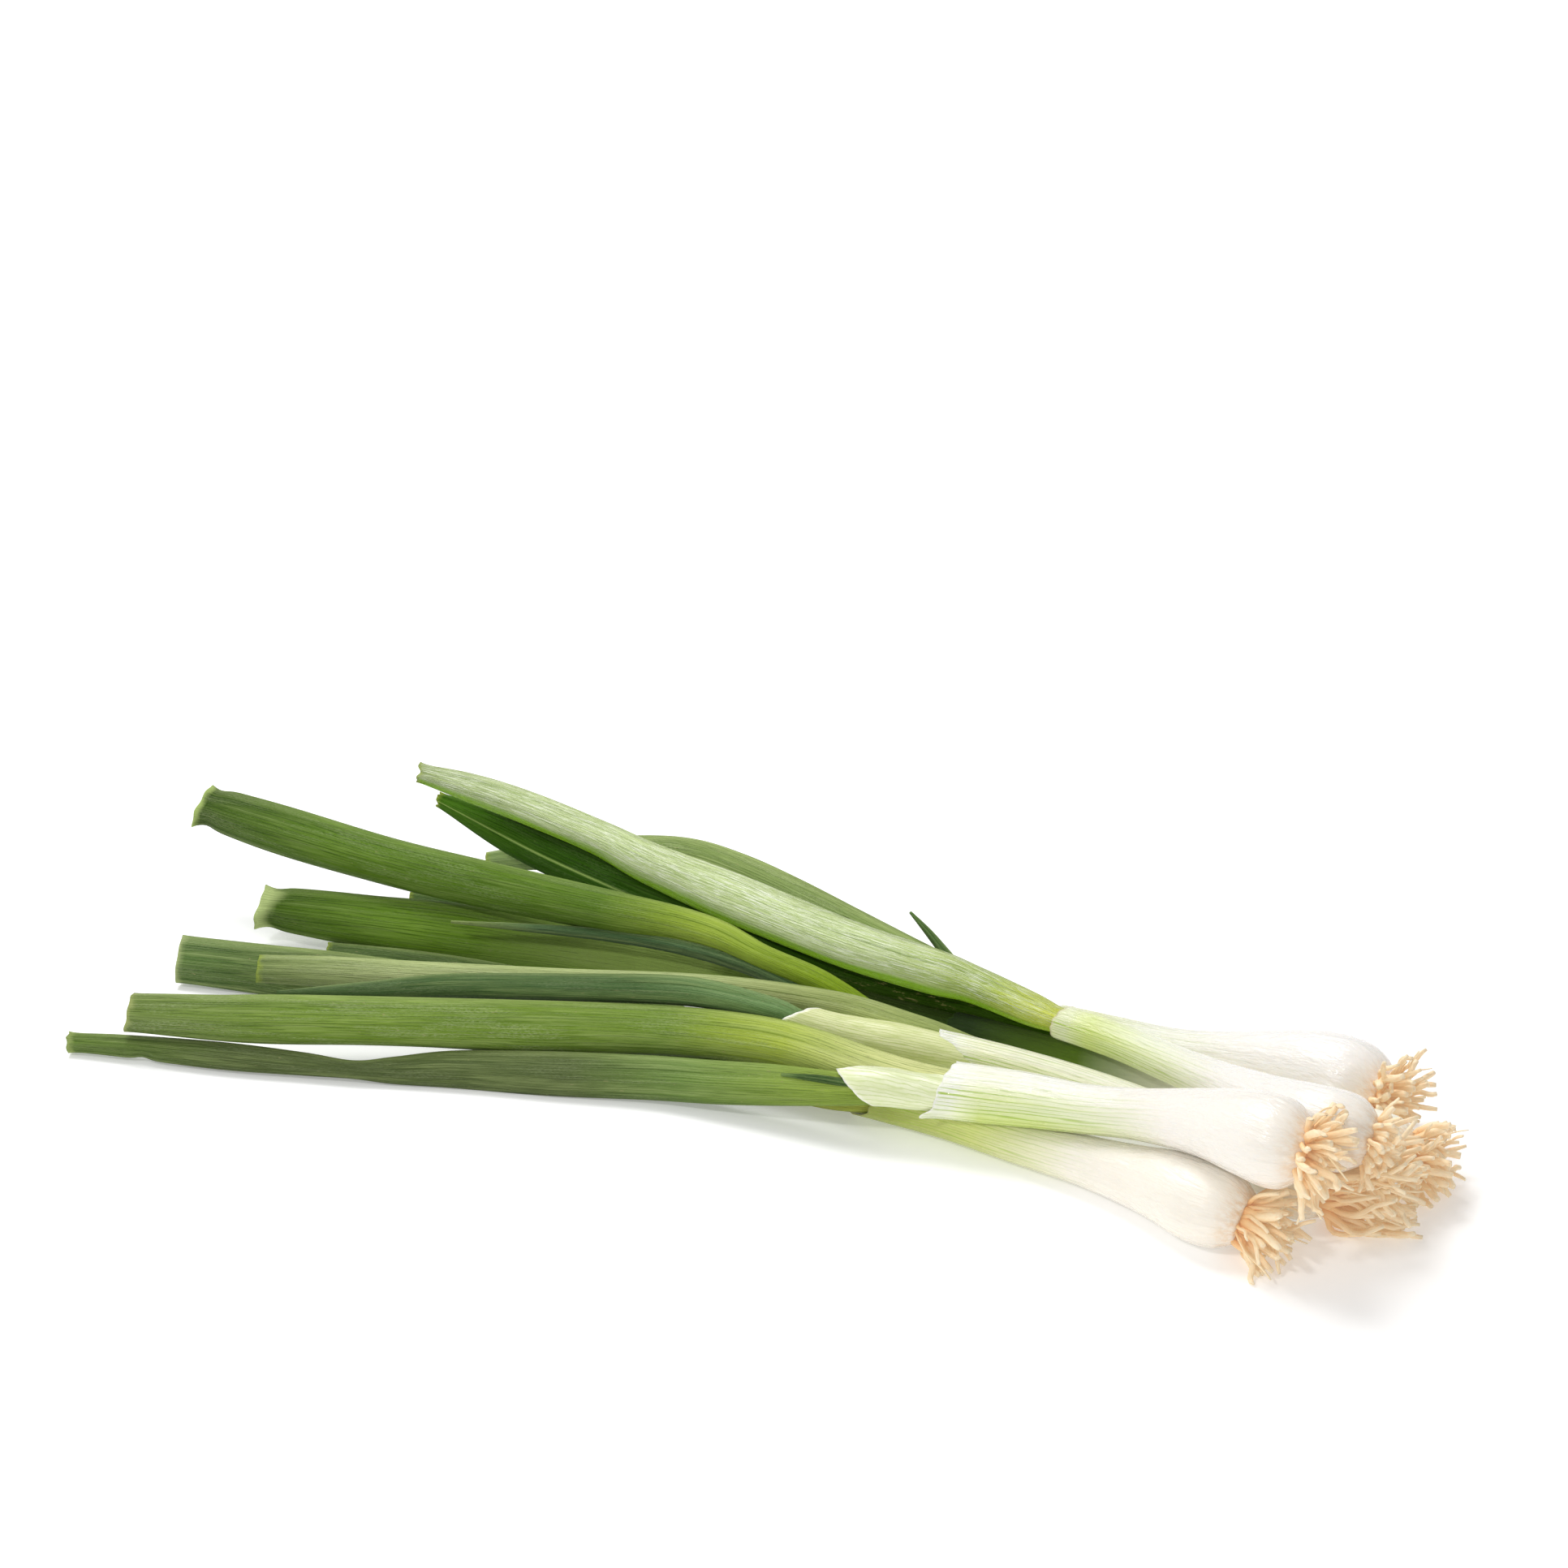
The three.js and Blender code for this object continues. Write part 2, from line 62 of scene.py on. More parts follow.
# Stations from the root plate to the collar: x, y, z, width, thickness, in mm
SHANKS = {
    "shank_a": [
        [138, -49, 9, 13, 13], [133, -48, 9.7, 19, 19], [126, -46, 9.7, 20.2, 20.2],
        [118, -42, 9.4, 18.4, 18.4], [109, -38, 8.3, 15.5, 15.5], [95, -33, 7, 12.7, 12.7],
        [76, -28, 5.9, 11.2, 11.2], [57, -23, 5.4, 10.5, 10.5], [38, -20, 5.2, 10.2, 10.2],
    ],
    "shank_b": [
        [152, -50, 31, 13, 13], [146, -49, 31, 21.5, 21.5], [137, -45, 30, 21, 21],
        [124, -38, 26.5, 16.5, 16.5], [108, -32, 22, 13, 13], [93, -29, 18.8, 12.4, 12],
        [76, -26, 16.5, 14, 11.6], [57, -26, 15.5, 14.6, 11.4],
    ],
    "shank_c": [
        [163, -32, 25.5, 12, 12], [158, -32, 26.6, 19, 19], [149, -30, 26.8, 19, 19],
        [136, -22, 24.7, 15, 15], [121, -10, 21, 11.4, 11.4], [106, 1, 18, 9.8, 9.8],
        [91, 10, 16.2, 9.2, 9.2], [75, 16, 15.5, 9.2, 9.2],
    ],
    "shank_d": [
        [158, 14, 10.4, 13, 13], [151, 17, 11, 22.2, 22.2], [141, 20, 11, 22.2, 22.2],
        [127, 23.5, 9.3, 17.4, 17.4], [113, 26.5, 7.2, 13, 13], [100, 28.5, 6, 10.8, 10.8],
        [85, 31, 5.5, 10, 10], [69, 33, 5.1, 9.8, 9.8],
    ],
    "shank_e": [
        [153, -31, 8.6, 12, 12], [147, -30, 9, 17, 17], [137, -25, 8.4, 16.8, 16.8],
        [126, -17.5, 7.8, 13.4, 13.4], [114, -11.5, 8, 11, 11], [101, -7.5, 9.3, 10, 10],
        [83, -5.2, 11, 9.8, 9.8], [66, -4.2, 12.5, 9.6, 9.6], [49, -3.2, 13.2, 9.6, 9.6],
    ],
    "shank_f": [
        [169, -8, 8.8, 12, 12], [164, -7, 9, 16.8, 16.8], [157, -4.5, 8.8, 16.8, 16.8],
        [145, 1, 7.4, 13.2, 13.2], [129, 9.5, 6, 10.4, 10.4], [112, 14.5, 5.3, 10, 10],
        [95, 16, 5.2, 10, 10], [76, 17.5, 5.4, 10.4, 10.4], [59, 19.4, 5.4, 9.6, 9.4],
        [44, 21.2, 5.2, 8.6, 7],
    ],
}

# Stations from the base inside the collar to the cut end: x, y, z, width, thickness, in mm
LEAVES = {
    "leaf_a_low": [
        [50, -21.5, 5.4, 6, 5.4], [37, -20, 5.2, 7.4, 6], [22, -19, 4.8, 9.5, 6.4],
        [-4, -14.5, 4.8, 10.5, 6.6], [-37, -9, 5, 12, 7.5], [-75, -6, 5.3, 13.4, 8.4],
        [-102, -7.5, 5.5, 14, 8.6], [-130, -10.5, 5.9, 14.2, 8.2], [-161, -15, 6.6, 13, 5.4],
    ],
    "leaf_a_side": [
        [40, -16.5, 6.4, 3.6, 3], [24, -13, 6, 5.6, 4.4], [-8, -3, 5.2, 7.6, 5.4], [-44, 6.5, 4.6, 7.4, 5],
        [-83, 10, 3.8, 6.6, 4.4], [-106, 9.5, 3.6, 6.2, 4], [-128, 7, 3.6, 5.4, 3.4],
    ],
    "leaf_b_upper": [
        [70, -26, 16, 8, 6.5], [57, -26, 15.5, 10.4, 8], [46, -24.8, 14.5, 12, 9],
        [34, -21.8, 14.1, 12.2, 9.2], [18, -18.6, 14.9, 12.4, 9.2], [2, -17, 14.5, 12.8, 9],
        [-24, -19, 13.5, 12.8, 8.6], [-60, -29, 13.4, 12.8, 8.6], [-94, -39, 13, 12.9, 8.4],
        [-125, -47, 12.2, 12.9, 7.8], [-155, -54, 12, 10.2, 5],
    ],
    "leaf_b_lower": [
        [47, -29.5, 14.2, 5, 4.2], [33, -30.6, 13.2, 8.2, 6.6], [15, -29.7, 10.4, 10.4, 7.6],
        [-2, -29.4, 7.8, 11.2, 8], [-20, -30, 5.9, 11.4, 8.2], [-45, -35, 4.7, 11.2, 8],
        [-69, -40, 4, 9.6, 7], [-84, -44.5, 3.4, 7.2, 5.4], [-94, -47.5, 3.4, 5, 5],
        [-107, -49.5, 3.6, 6.2, 5], [-128, -53, 3.8, 7.3, 5.5], [-154, -56.5, 3.5, 6, 4.5],
        [-170, -59, 3, 4.8, 4],
    ],
    "leaf_b_young": [
        [42, -30.8, 15, 1.8, 1.6], [34, -32, 15.9, 2.2, 1.8], [26, -32, 15.8, 2, 1.6],
        [16, -31, 14.4, 0.8, 0.8],
    ],
    "leaf_c_top": [
        [88, 11.5, 16, 5.6, 5.6], [75, 16, 15.5, 6.6, 6.4], [66, 19, 15.8, 8.6, 7.4],
        [49, 24.5, 17, 9.8, 7], [37, 25.5, 18.5, 12.2, 6.5], [12, 28, 21, 13.2, 6], [-21, 36, 24, 13.4, 6],
        [-49, 44.5, 26, 11.5, 6], [-66, 51, 27.5, 9.9, 5.5], [-90, 57, 30, 9.4, 5],
        [-108, 59, 32.3, 8.2, 4], [-125, 60, 34, 4.8, 2.6],
    ],
    "leaf_c_under": [
        [72, 18.8, 12.2, 5.5, 4.6], [58, 23, 11, 8.2, 5], [44, 27, 10.5, 9, 4.8], [21, 28, 11, 9.8, 4.6],
        [-2, 31, 12.8, 11, 4.8], [-22, 34.5, 14.8, 12, 5], [-40, 39, 16.8, 12.5, 5],
        [-61, 45.5, 18.3, 12.5, 5], [-81, 52, 19.8, 12, 5], [-98, 58, 21.5, 10.6, 4.5],
        [-121, 65, 24, 3.6, 2.6],
    ],
    "leaf_c_young": [
        [50, 29, 13, 3.2, 2.6], [43, 33, 15, 3.2, 2.4], [36.5, 38, 17.6, 2.8, 2],
        [31, 41.5, 20.6, 2.1, 1.5], [25, 44.5, 24, 0.8, 0.8],
    ],
    "leaf_d_back": [
        [82, 31.5, 5.4, 5.6, 5], [69, 33, 5.2, 7, 5.8], [58, 34.5, 7, 8.6, 6.2], [44, 37, 9.6, 9.4, 6.4],
        [27, 39.5, 13, 11, 6.8], [8, 44, 16.4, 12, 7], [-11, 50, 19, 12.5, 7], [-28, 56, 20.2, 12.5, 7],
        [-45, 62, 19.4, 12, 6.6], [-63, 65, 16.4, 11, 6], [-85, 68, 11, 9, 5], [-107, 66, 6, 5.5, 4],
    ],
    "leaf_e_outer": [
        [66, -1.6, 13.6, 3.6, 3.2], [56, -1.6, 14.2, 5.6, 5], [47, -0.9, 14.7, 7.8, 6.6],
        [38, 0, 15, 9, 7.4], [21, 2.5, 16, 8.8, 6.6], [-1, 2.5, 16, 8.5, 6], [-22, -1, 16, 8.5, 6],
        [-51, -8, 15.5, 8.5, 5.6], [-85, -15, 14.8, 8.5, 5.3], [-112, -20, 14.2, 8.4, 4.8],
        [-132, -25, 14, 7.6, 3.4],
    ],
    "leaf_e_inner": [
        [42, -5, 13.4, 3, 2.6], [32, -6.8, 14.4, 4.4, 3.8], [22, -8.2, 16, 5, 4.4],
        [13, -9.2, 18, 5.2, 4.5], [5, -9.5, 19.9, 6.2, 5.4], [-17, -9.9, 20.8, 7.8, 6.8],
        [-45, -16.5, 20.2, 7.2, 6], [-76, -24.5, 19, 6.6, 5.5], [-96, -31.5, 17.6, 5, 4.2],
        [-119, -39, 16.4, 1.4, 1.2],
    ],
    "leaf_e_long": [
        [40, 3.5, 11.5, 3.4, 3], [30, 7, 12.6, 4.6, 4], [18, 12, 14.6, 5.8, 4.8], [8, 15.5, 16, 6.6, 5.4],
        [-7, 18.5, 18, 6.9, 5.5], [-20, 22, 20, 8.5, 6.5], [-32, 23, 21, 9.7, 7.5], [-47, 22, 22, 11, 8.5],
        [-63, 22, 22.5, 12, 9], [-87, 23, 23, 12.8, 9.5], [-116, 24, 24.5, 13.4, 9.5],
        [-150, 27, 27.2, 13.9, 9], [-177, 31, 29, 11.5, 6],
    ],
    "leaf_e_young": [
        [20, 9, 12, 3, 2.6], [8, 12.5, 12.8, 3.6, 3], [-11, 17, 15.4, 4.2, 3.4],
        [-30, 18.5, 16.9, 4.2, 3.4], [-50, 18, 17, 3.6, 3], [-71, 15, 16.9, 2.4, 2],
        [-92, 10, 17.5, 0.8, 0.8],
    ],
    "leaf_f_mid": [
        [67, 18.5, 5, 5.4, 5], [54, 20, 5, 6.8, 5.8], [39, 21.5, 5, 8.4, 6], [14, 23.5, 5.4, 10.4, 6.4],
        [-19, 25.5, 6.4, 13, 7.6], [-42, 26, 7, 14.5, 8.5], [-65, 24, 7.6, 15, 9], [-91, 21, 8.6, 15.4, 9],
        [-120, 16, 10, 15.2, 8.8], [-151, 12, 11, 11.5, 5.6],
    ],
    "leaf_f_low": [
        [52, 25, 5, 3.6, 3.2], [40, 28, 4.8, 6, 4.8], [10, 34, 4.8, 8.4, 6], [-23, 38, 4.8, 9, 6.4],
        [-57, 41.5, 4.8, 9, 6.4], [-91, 43.5, 4.8, 8.4, 6], [-120, 43.5, 4.8, 6.5, 4],
    ],
}

# Leaf colours at the base, past the sheath, in the middle and at the cut end; the shares of the length
# where the base's colour ends and the second one is reached; how much pale bloom streaks it, partly a
# painted sheen, and how hazy and rough the skin is; the colour of the cut rim. Some have a light stretch,
# a band of painted light on the underside, painted highlight glints, scars or a fold line.
LEAF_LOOKS = {
    "leaf_a_low": dict(colours=("#ccd25c", "#64802c", "#4c6426", "#50702e"), turns=(0.15, 0.25),
                       lip="#a9b67c"),
    "leaf_a_side": dict(colours=("#a0ac48", "#527020", "#446222", "#486828"), turns=(0.1, 0.2), streak=0.25),
    "leaf_b_upper": dict(colours=("#e4e6a0", "#adbe40", "#6c8a20", "#6a803a"), turns=(0.11, 0.25),
                         streak=0.45, haze=0.8, lip="#a5af6c"),
    "leaf_b_lower": dict(colours=("#94ac42", "#68863a", "#4c5c2c", "#668430"), turns=(0.08, 0.26),
                         streak=0.25, haze=0.8, lip="#a2b46a"),
    "leaf_b_young": dict(colours=("#3c6428", "#3c6428", "#356024", "#8cac60"), streak=0.1),
    "leaf_c_top": dict(colours=("#d8e03c", "#a4bc30", "#c8da96", "#a8bc74"), turns=(0.07, 0.17), streak=0.9,
                       haze=0.7, rough=0.24, under=1.0, glints=0.75),
    "leaf_c_under": dict(colours=("#345404", "#2c5000", "#2c5400", "#4a7812"), streak=0.1, haze=0.15,
                         scars=0.8, fold=0.8),
    "leaf_c_young": dict(colours=("#8ca06c", "#587c3c", "#4c7434", "#648c44"), turns=(0.2, 0.5), streak=0.1),
    "leaf_d_back": dict(colours=("#8cac40", "#84a048", "#80984e", "#8aa463"), turns=(0.1, 0.25), streak=0.6),
    "leaf_e_outer": dict(colours=("#a2b064", "#9ea964", "#bcc88a", "#7e9052"), turns=(0.12, 0.3), streak=0.6),
    "leaf_e_inner": dict(colours=("#80a86a", "#668a52", "#426432", "#426434"), haze=0.8, lip="#56743f"),
    "leaf_e_long": dict(colours=("#86a400", "#a6be40", "#56790e", "#35500c"), turns=(0.12, 0.3),
                        haze=0.5, lip="#abc070"),
    "leaf_e_young": dict(colours=("#44663a", "#44663a", "#486c42", "#a4b86c"), streak=0.15),
    # leaf_f_mid's near-black base colour is painted shade of the gap beneath the other leaves
    "leaf_f_mid": dict(colours=("#2c4408", "#7a923c", "#6e9226", "#345200"), turns=(0.26, 0.42), streak=0.15,
                       haze=0.4, lip="#b3c480", light_from=0.42, light="#9db45f"),
    "leaf_f_low": dict(colours=("#3a5414", "#44621a", "#4c6c2c", "#5a7e34")),
}

# How flat-edged each leaf's section is, and its cut end: a slant and raggedness in mm, how far the end is
# pinched shut, how much its lips spread, how deep its edge is split like a fish's tail in mm, how narrow
# it is just before its lips, and how long its pale rim is in mm
PLAIN_SHAPE = dict(edge=0.2, slant=0.5, rag=0.6, pinch=0.2, lips=0.0, split=0.0, neck=0.0, lip=1.3)
LEAF_SHAPES = {
    "leaf_a_low": dict(edge=0.1, slant=0.6, rag=0.5, lips=0.05),
    "leaf_a_side": dict(),
    "leaf_b_upper": dict(edge=0.15, slant=-1.4, rag=0.7, pinch=0.3, lips=0.08),
    "leaf_b_lower": dict(edge=0.15, rag=0.9, lips=0.35, lip=1.8),
    "leaf_c_top": dict(edge=0.8, slant=1.2, rag=1.0, pinch=0.25, lips=0.35, split=1.2),
    "leaf_c_under": dict(edge=0.45, slant=1.0, rag=1.2, pinch=0.1, lips=0.3),
    "leaf_d_back": dict(edge=0.35),
    "leaf_e_outer": dict(slant=-0.4, rag=0.4),
    "leaf_e_inner": dict(slant=0.0, rag=0.3, pinch=0.0),
    "leaf_e_long": dict(edge=0.1, slant=-1.3, rag=1.2, pinch=0.4, lips=0.34, neck=0.12, lip=1.8),
    "leaf_f_mid": dict(edge=0.1, slant=-1.0, rag=1.3, pinch=0.4, lips=0.36, neck=0.1, lip=5.6),
    "leaf_f_low": dict(rag=0.5),
}
YOUNG = ("leaf_b_young", "leaf_c_young", "leaf_e_young")

# Hollows, and with a negative depth swellings, in the leaves: place on the layout's x in mm, angle round
# the leaf in degrees, depth as a share of the leaf's size, length in mm
DENTS = {
    "leaf_b_lower": [(-50, 180, -0.08, 28), (-149, 20, 0.22, 2.5), (-93, 100, 0.12, 12), (-60, 80, 0.06, 16)],
    "leaf_b_upper": [(-50, 0, -0.17, 28), (-30, 110, 0.05, 18), (-100, 70, 0.06, 22), (-132, 110, 0.07, 10)],
    "leaf_c_top": [(-6, 90, 0.10, 14), (-40, 80, 0.08, 12), (30, 100, 0.1, 10)],
    "leaf_d_back": [(-20, 90, 0.1, 14)],
    "leaf_e_long": [(-60, 90, 0.05, 20), (-120, 60, 0.06, 18)],
    "leaf_f_mid": [(-70, 90, 0.06, 20), (-118, 120, 0.06, 12), (-44, 95, 0.08, 2.0)],
    "leaf_a_low": [(-140, 100, 0.08, 10)],
    "leaf_e_outer": [(-60, 90, 0.05, 20), (10, 90, 0.08, 10)],
}

# Shank colours from the root plate to the collar, how green and how low round the shank its veins are,
# how papery its collar is, and where they differ, how glossy it is and the colour of the collar's edge
SHANK_LOOKS = {
    "shank_a": dict(colours=("#f3ebdf", "#f1ebdf", "#ccd27c", "#9ca832"), veins=0.9, rim_colour="#aab04e"),
    "shank_b": dict(colours=("#f2eade", "#f1ece4", "#eeeee2", "#eeeed8"), low=1.0, paper=0.7),
    "shank_c": dict(colours=("#f4ece0", "#f4f0ea", "#edf0d8", "#d2df80"), low=0.8, paper=0.5,
                    rim_colour="#d2c79c"),
    "shank_d": dict(colours=("#f6efe6", "#f5f1ec", "#ecece0", "#d4da98"), veins=0.4, paper=0.2),
    "shank_e": dict(colours=("#f3ecda", "#f3f0e2", "#f0f0d8", "#efeed4"), veins=0.9, low=0.2, paper=0.7),
    # shank_f darkens toward its collar: partly the shank's own green, partly painted shade of the gap it lies
    # in; its edge colour is painted shade too
    "shank_f": dict(colours=("#f6f0e0", "#f4f1e0", "#587418", "#1c3400"), veins=0.0, rim_colour="#223a04",
                    gloss=0.1),
}

# Torn collars: slant of the rim in mm, the length in mm and the angle in degrees of its longest tip, how
# far the edge stands off in mm, how broad the tip is in radians and how much it lifts
PLAIN_COLLAR = dict(slant=0.5, flare=0.0, breadth=0.25, lift=0.18)
COLLARS = {
    "shank_a": dict(tip=7.5, angle=-35, breadth=0.8, lift=0.0),
    "shank_b": dict(slant=2.0, tip=3.2, angle=12, flare=0.05, breadth=0.3, lift=0.3),
    "shank_c": dict(slant=1.3, tip=0.6, angle=300, flare=0.08),
    "shank_d": dict(tip=1.0, angle=100, flare=0.1),
    "shank_e": dict(slant=-1.2, tip=0.8, angle=165, flare=0.05),
    "shank_f": dict(tip=0.5, angle=100),
}

# Roots: how many, their length in mm, how wide the tuft opens in degrees, the way they sweep, how crooked
# they are and how far they reach to the front
ROOTS = {
    "shank_a": dict(count=70, length=14, spread=62, sweep=(0.2, 0.0, -0.2)),
    "shank_b": dict(count=70, length=11.5, spread=76, sweep=(0.0, 0.0, -0.15)),
    "shank_c": dict(count=56, length=7.5, spread=66, sweep=(-0.1, -0.1, -0.1)),
    "shank_d": dict(count=64, length=11.5, spread=66, sweep=(-0.1, 0.1, 0.25)),
    "shank_e": dict(count=130, length=22, spread=42, sweep=(0.25, 0.45, 0.2), wild=1.5, front=0.42),
    "shank_f": dict(count=70, length=12.5, spread=58, sweep=(0.05, -0.1, 0.0), wild=1.2),
}


FINE_STEPS = 600  # steps at which a strand's length is measured
NUDGE = 0.01  # share between two readings that give a strand's direction
LEAST_HALF = 0.05  # least half width of a section, in mm


def curve_through(stations, shares):
    """A smooth curve through all stations, read at shares of their number."""
    points = np.asarray(stations, float)
    last = len(points) - 1
    padded = np.vstack([2 * points[0] - points[1], points, 2 * points[-1] - points[-2]])
    place = np.clip(shares, 0, 1) * last
    i = np.minimum(place.astype(int), last - 1)
    s = (place - i)[:, None]
    a, b, c, d = padded[i], padded[i + 1], padded[i + 2], padded[i + 3]
    return 0.5 * (2 * b + (c - a) * s + (2 * a - 5 * b + 4 * c - d) * s**2 + (3 * b - a - 3 * c + d) * s**3)


def unit(vectors):
    return vectors / np.linalg.norm(vectors, axis=-1, keepdims=True)


def smooth(values, low, high):
    """0 below low, 1 above high and a soft step between them."""
    t = np.clip((np.asarray(values, float) - low) / (high - low), 0, 1)
    return t * t * (3 - 2 * t)


def turned_away(angles, degrees):
    """The smallest turns, in radians, from a direction in degrees to some angles."""
    return np.angle(np.exp(1j * (angles - math.radians(degrees))))


class Strand:
    """Centre line, section axes and sizes along one shank, leaf or root, in mm of the layout."""

    def __init__(self, stations, steps, lean=LEAN):
        fine = np.linspace(0, 1, FINE_STEPS)
        dense = curve_through(stations, fine)
        run = np.concatenate([[0], np.cumsum(np.linalg.norm(np.diff(dense[:, :3], axis=0), axis=1))])
        self.length = run[-1]
        self.run = np.linspace(0, self.length, steps + 1)
        shares = np.interp(self.run, run, fine)
        values = curve_through(stations, shares)
        ahead = curve_through(stations, shares + NUDGE)[:, :3]
        behind = curve_through(stations, shares - NUDGE)[:, :3]
        self.centre = values[:, :3]
        self.width = values[:, 3]
        self.thickness = values[:, 4]
        self.along = unit(ahead - behind)
        side = unit(np.cross([0, 0, 1.0], self.along))
        up = np.cross(self.along, side)
        self.broad = side * math.cos(lean) + up * math.sin(lean)
        self.narrow = up * math.cos(lean) - side * math.sin(lean)

    def grid(self, sides):
        """Distances along the strand and angles round it, as grids of steps by sides."""
        angle = np.linspace(0, 2 * math.pi, sides, endpoint=False)
        return np.meshgrid(self.run, angle, indexing="ij")

    def read(self, values, run):
        values = values if values.ndim == 2 else values[:, None]
        parts = [np.interp(run, self.run, values[:, k]) for k in range(values.shape[1])]
        return np.stack(parts, -1)

    def step_at_x(self, x):
        """The step of the strand where it passes an x of the layout."""
        return int(np.argmin(np.abs(self.centre[:, 0] - x)))

    def skin(self, run, angle, swell=1.0, inset=0.0, thin=1.0, edge=0.0):
        """Points on the strand's skin, swelled by a factor, sunk by an inset, thinned or sharp-edged."""
        at = np.clip(run, 0, self.length)
        half_width = np.maximum(self.read(self.width, at)[..., 0] / 2 * swell - inset, LEAST_HALF)
        half_thick = np.maximum(self.read(self.thickness, at)[..., 0] / 2 * swell * thin - inset, LEAST_HALF)
        flat = np.sin(angle) * np.abs(np.sin(angle)) ** edge
        return (
            self.read(self.centre, at)
            + self.read(self.broad, at) * (half_width * np.cos(angle))[..., None]
            + self.read(self.narrow, at) * (half_thick * flat)[..., None]
            + self.read(self.along, at) * (run - at)[..., None]
        )


def waves(angle, run, seed, count=5, turns=4, stretch=60.0):
    """A smooth seeded ripple of about -1 to 1 over a strand's skin."""
    random = np.random.default_rng(seed)
    total = np.zeros(np.broadcast(angle, run).shape)
    for _ in range(count):
        k = random.integers(1, turns + 1)
        total += np.sin(k * angle + random.uniform(0, 6.28) + run / stretch * random.uniform(2, 6.28))
    return total / math.sqrt(count * 2)


def around_facts(angle, run):
    """The vector that the materials' noise reads: once round the section, and along in mm."""
    return np.stack([np.cos(angle), np.sin(angle), run + 0 * angle], -1)


def add_object(name, data):
    made = bpy.data.objects.new(name, data)
    scene.collection.objects.link(made)
    return made


def mesh_piece(name, points, faces, around, share, rim):
    """A smooth mesh object from points in mm of the layout, with its attributes."""
    mesh = bpy.data.meshes.new(name)
    points = np.clip((np.asarray(points).reshape(-1, 3) - MIDDLE) * MM, *cad_box)
    mesh.from_pydata(points.tolist(), [], faces)
    layer = mesh.attributes.new("around", "FLOAT_VECTOR", "POINT")
    layer.data.foreach_set("vector", np.asarray(around, np.float32).ravel())
    for key, values in (("share", share), ("rim", rim)):
        layer = mesh.attributes.new(key, "FLOAT", "POINT")
        layer.data.foreach_set("value", np.asarray(values, np.float32).ravel())
    mesh.polygons.foreach_set("use_smooth", [True] * len(mesh.polygons))
    mesh.update()
    return add_object(name, mesh)


def side_faces(rows, sides):
    """Quads between rings that follow each other."""
    faces = []
    for i in range(rows - 1):
        a, b = i * sides, (i + 1) * sides
        faces += [(a + j, a + (j + 1) % sides, b + (j + 1) % sides, b + j) for j in range(sides)]
    return faces


def tube_faces(rows, sides):
    """The sides of a tube, and fans on two middles that close its ends."""
    base, top = rows * sides, rows * sides + 1
    end = (rows - 1) * sides
    faces = side_faces(rows, sides)
    faces += [(base, (j + 1) % sides, j) for j in range(sides)]
    faces += [(top, end + j, end + (j + 1) % sides) for j in range(sides)]
    return faces


def with_middles(grid):
    """A grid's values as a list, with the means of its first and last ring at the end."""
    flat = grid.reshape(-1, *grid.shape[2:])
    return np.concatenate([flat, grid[:1].mean(1), grid[-1:].mean(1)])


def tube_piece(name, rings, run, angle, length, rim):
    """A closed tube as a mesh object."""
    faces = tube_faces(*rings.shape[:2])
    around = with_middles(around_facts(angle, run))
    share = np.clip(around[:, 2] / length, 0, 1)
    return mesh_piece(name, with_middles(rings), faces, around, share, with_middles(rim))


# The wall inside a hollow end: its rows, as shares of its depth, and how much of the rim's colour its
# deep rows keep
HOLLOW_ROWS = np.linspace(0, 1, 8)[:, None]
DEEP_RIM = 0.25


def hollow_piece(name, length, angle, run, skin, depth, insets, rim):
    """A tube with a hollow end; skin gives the points at angles, distances and an inset."""
    inner_run = run[-1] - depth * HOLLOW_ROWS
    inner_angle = np.broadcast_to(angle[-1], inner_run.shape)
    rings = np.vstack([skin(angle, run, insets[0]), skin(inner_angle, inner_run, insets[1])])
    rim = np.vstack([rim, np.clip(1 - HOLLOW_ROWS, DEEP_RIM, 1) + 0 * inner_run])
    return tube_piece(name + "_skin", rings, np.vstack([run, inner_run]), np.vstack([angle, inner_angle]),
                      length, rim)


# Materials

PALE_RIM = "#fbf9ee"  # the dried edge of a collar or sheath
FULL_GLOSS = 0.5  # specular level of the white shanks and of wet leaves
HAZY_GLOSS = 0.14  # specular level of a hazy leaf
FLESH_GLOW = 0.03  # painted light: a faint glow of the white shanks and bulbs that lifts their shade
ROOT_GLOW = 0.1  # painted light: a faint glow of the thin roots that lifts the shade among them
SCATTER = (1.0, 0.9, 0.75)  # how far red, green and blue light spreads beneath a skin


def linear(hex_colour):
    """A hex colour as linear red, green, blue and 1."""
    parts = [int(hex_colour[i:i + 2], 16) / 255 for i in (1, 3, 5)]
    return [p / 12.92 if p <= 0.04045 else ((p + 0.055) / 1.055) ** 2.4 for p in parts] + [1.0]


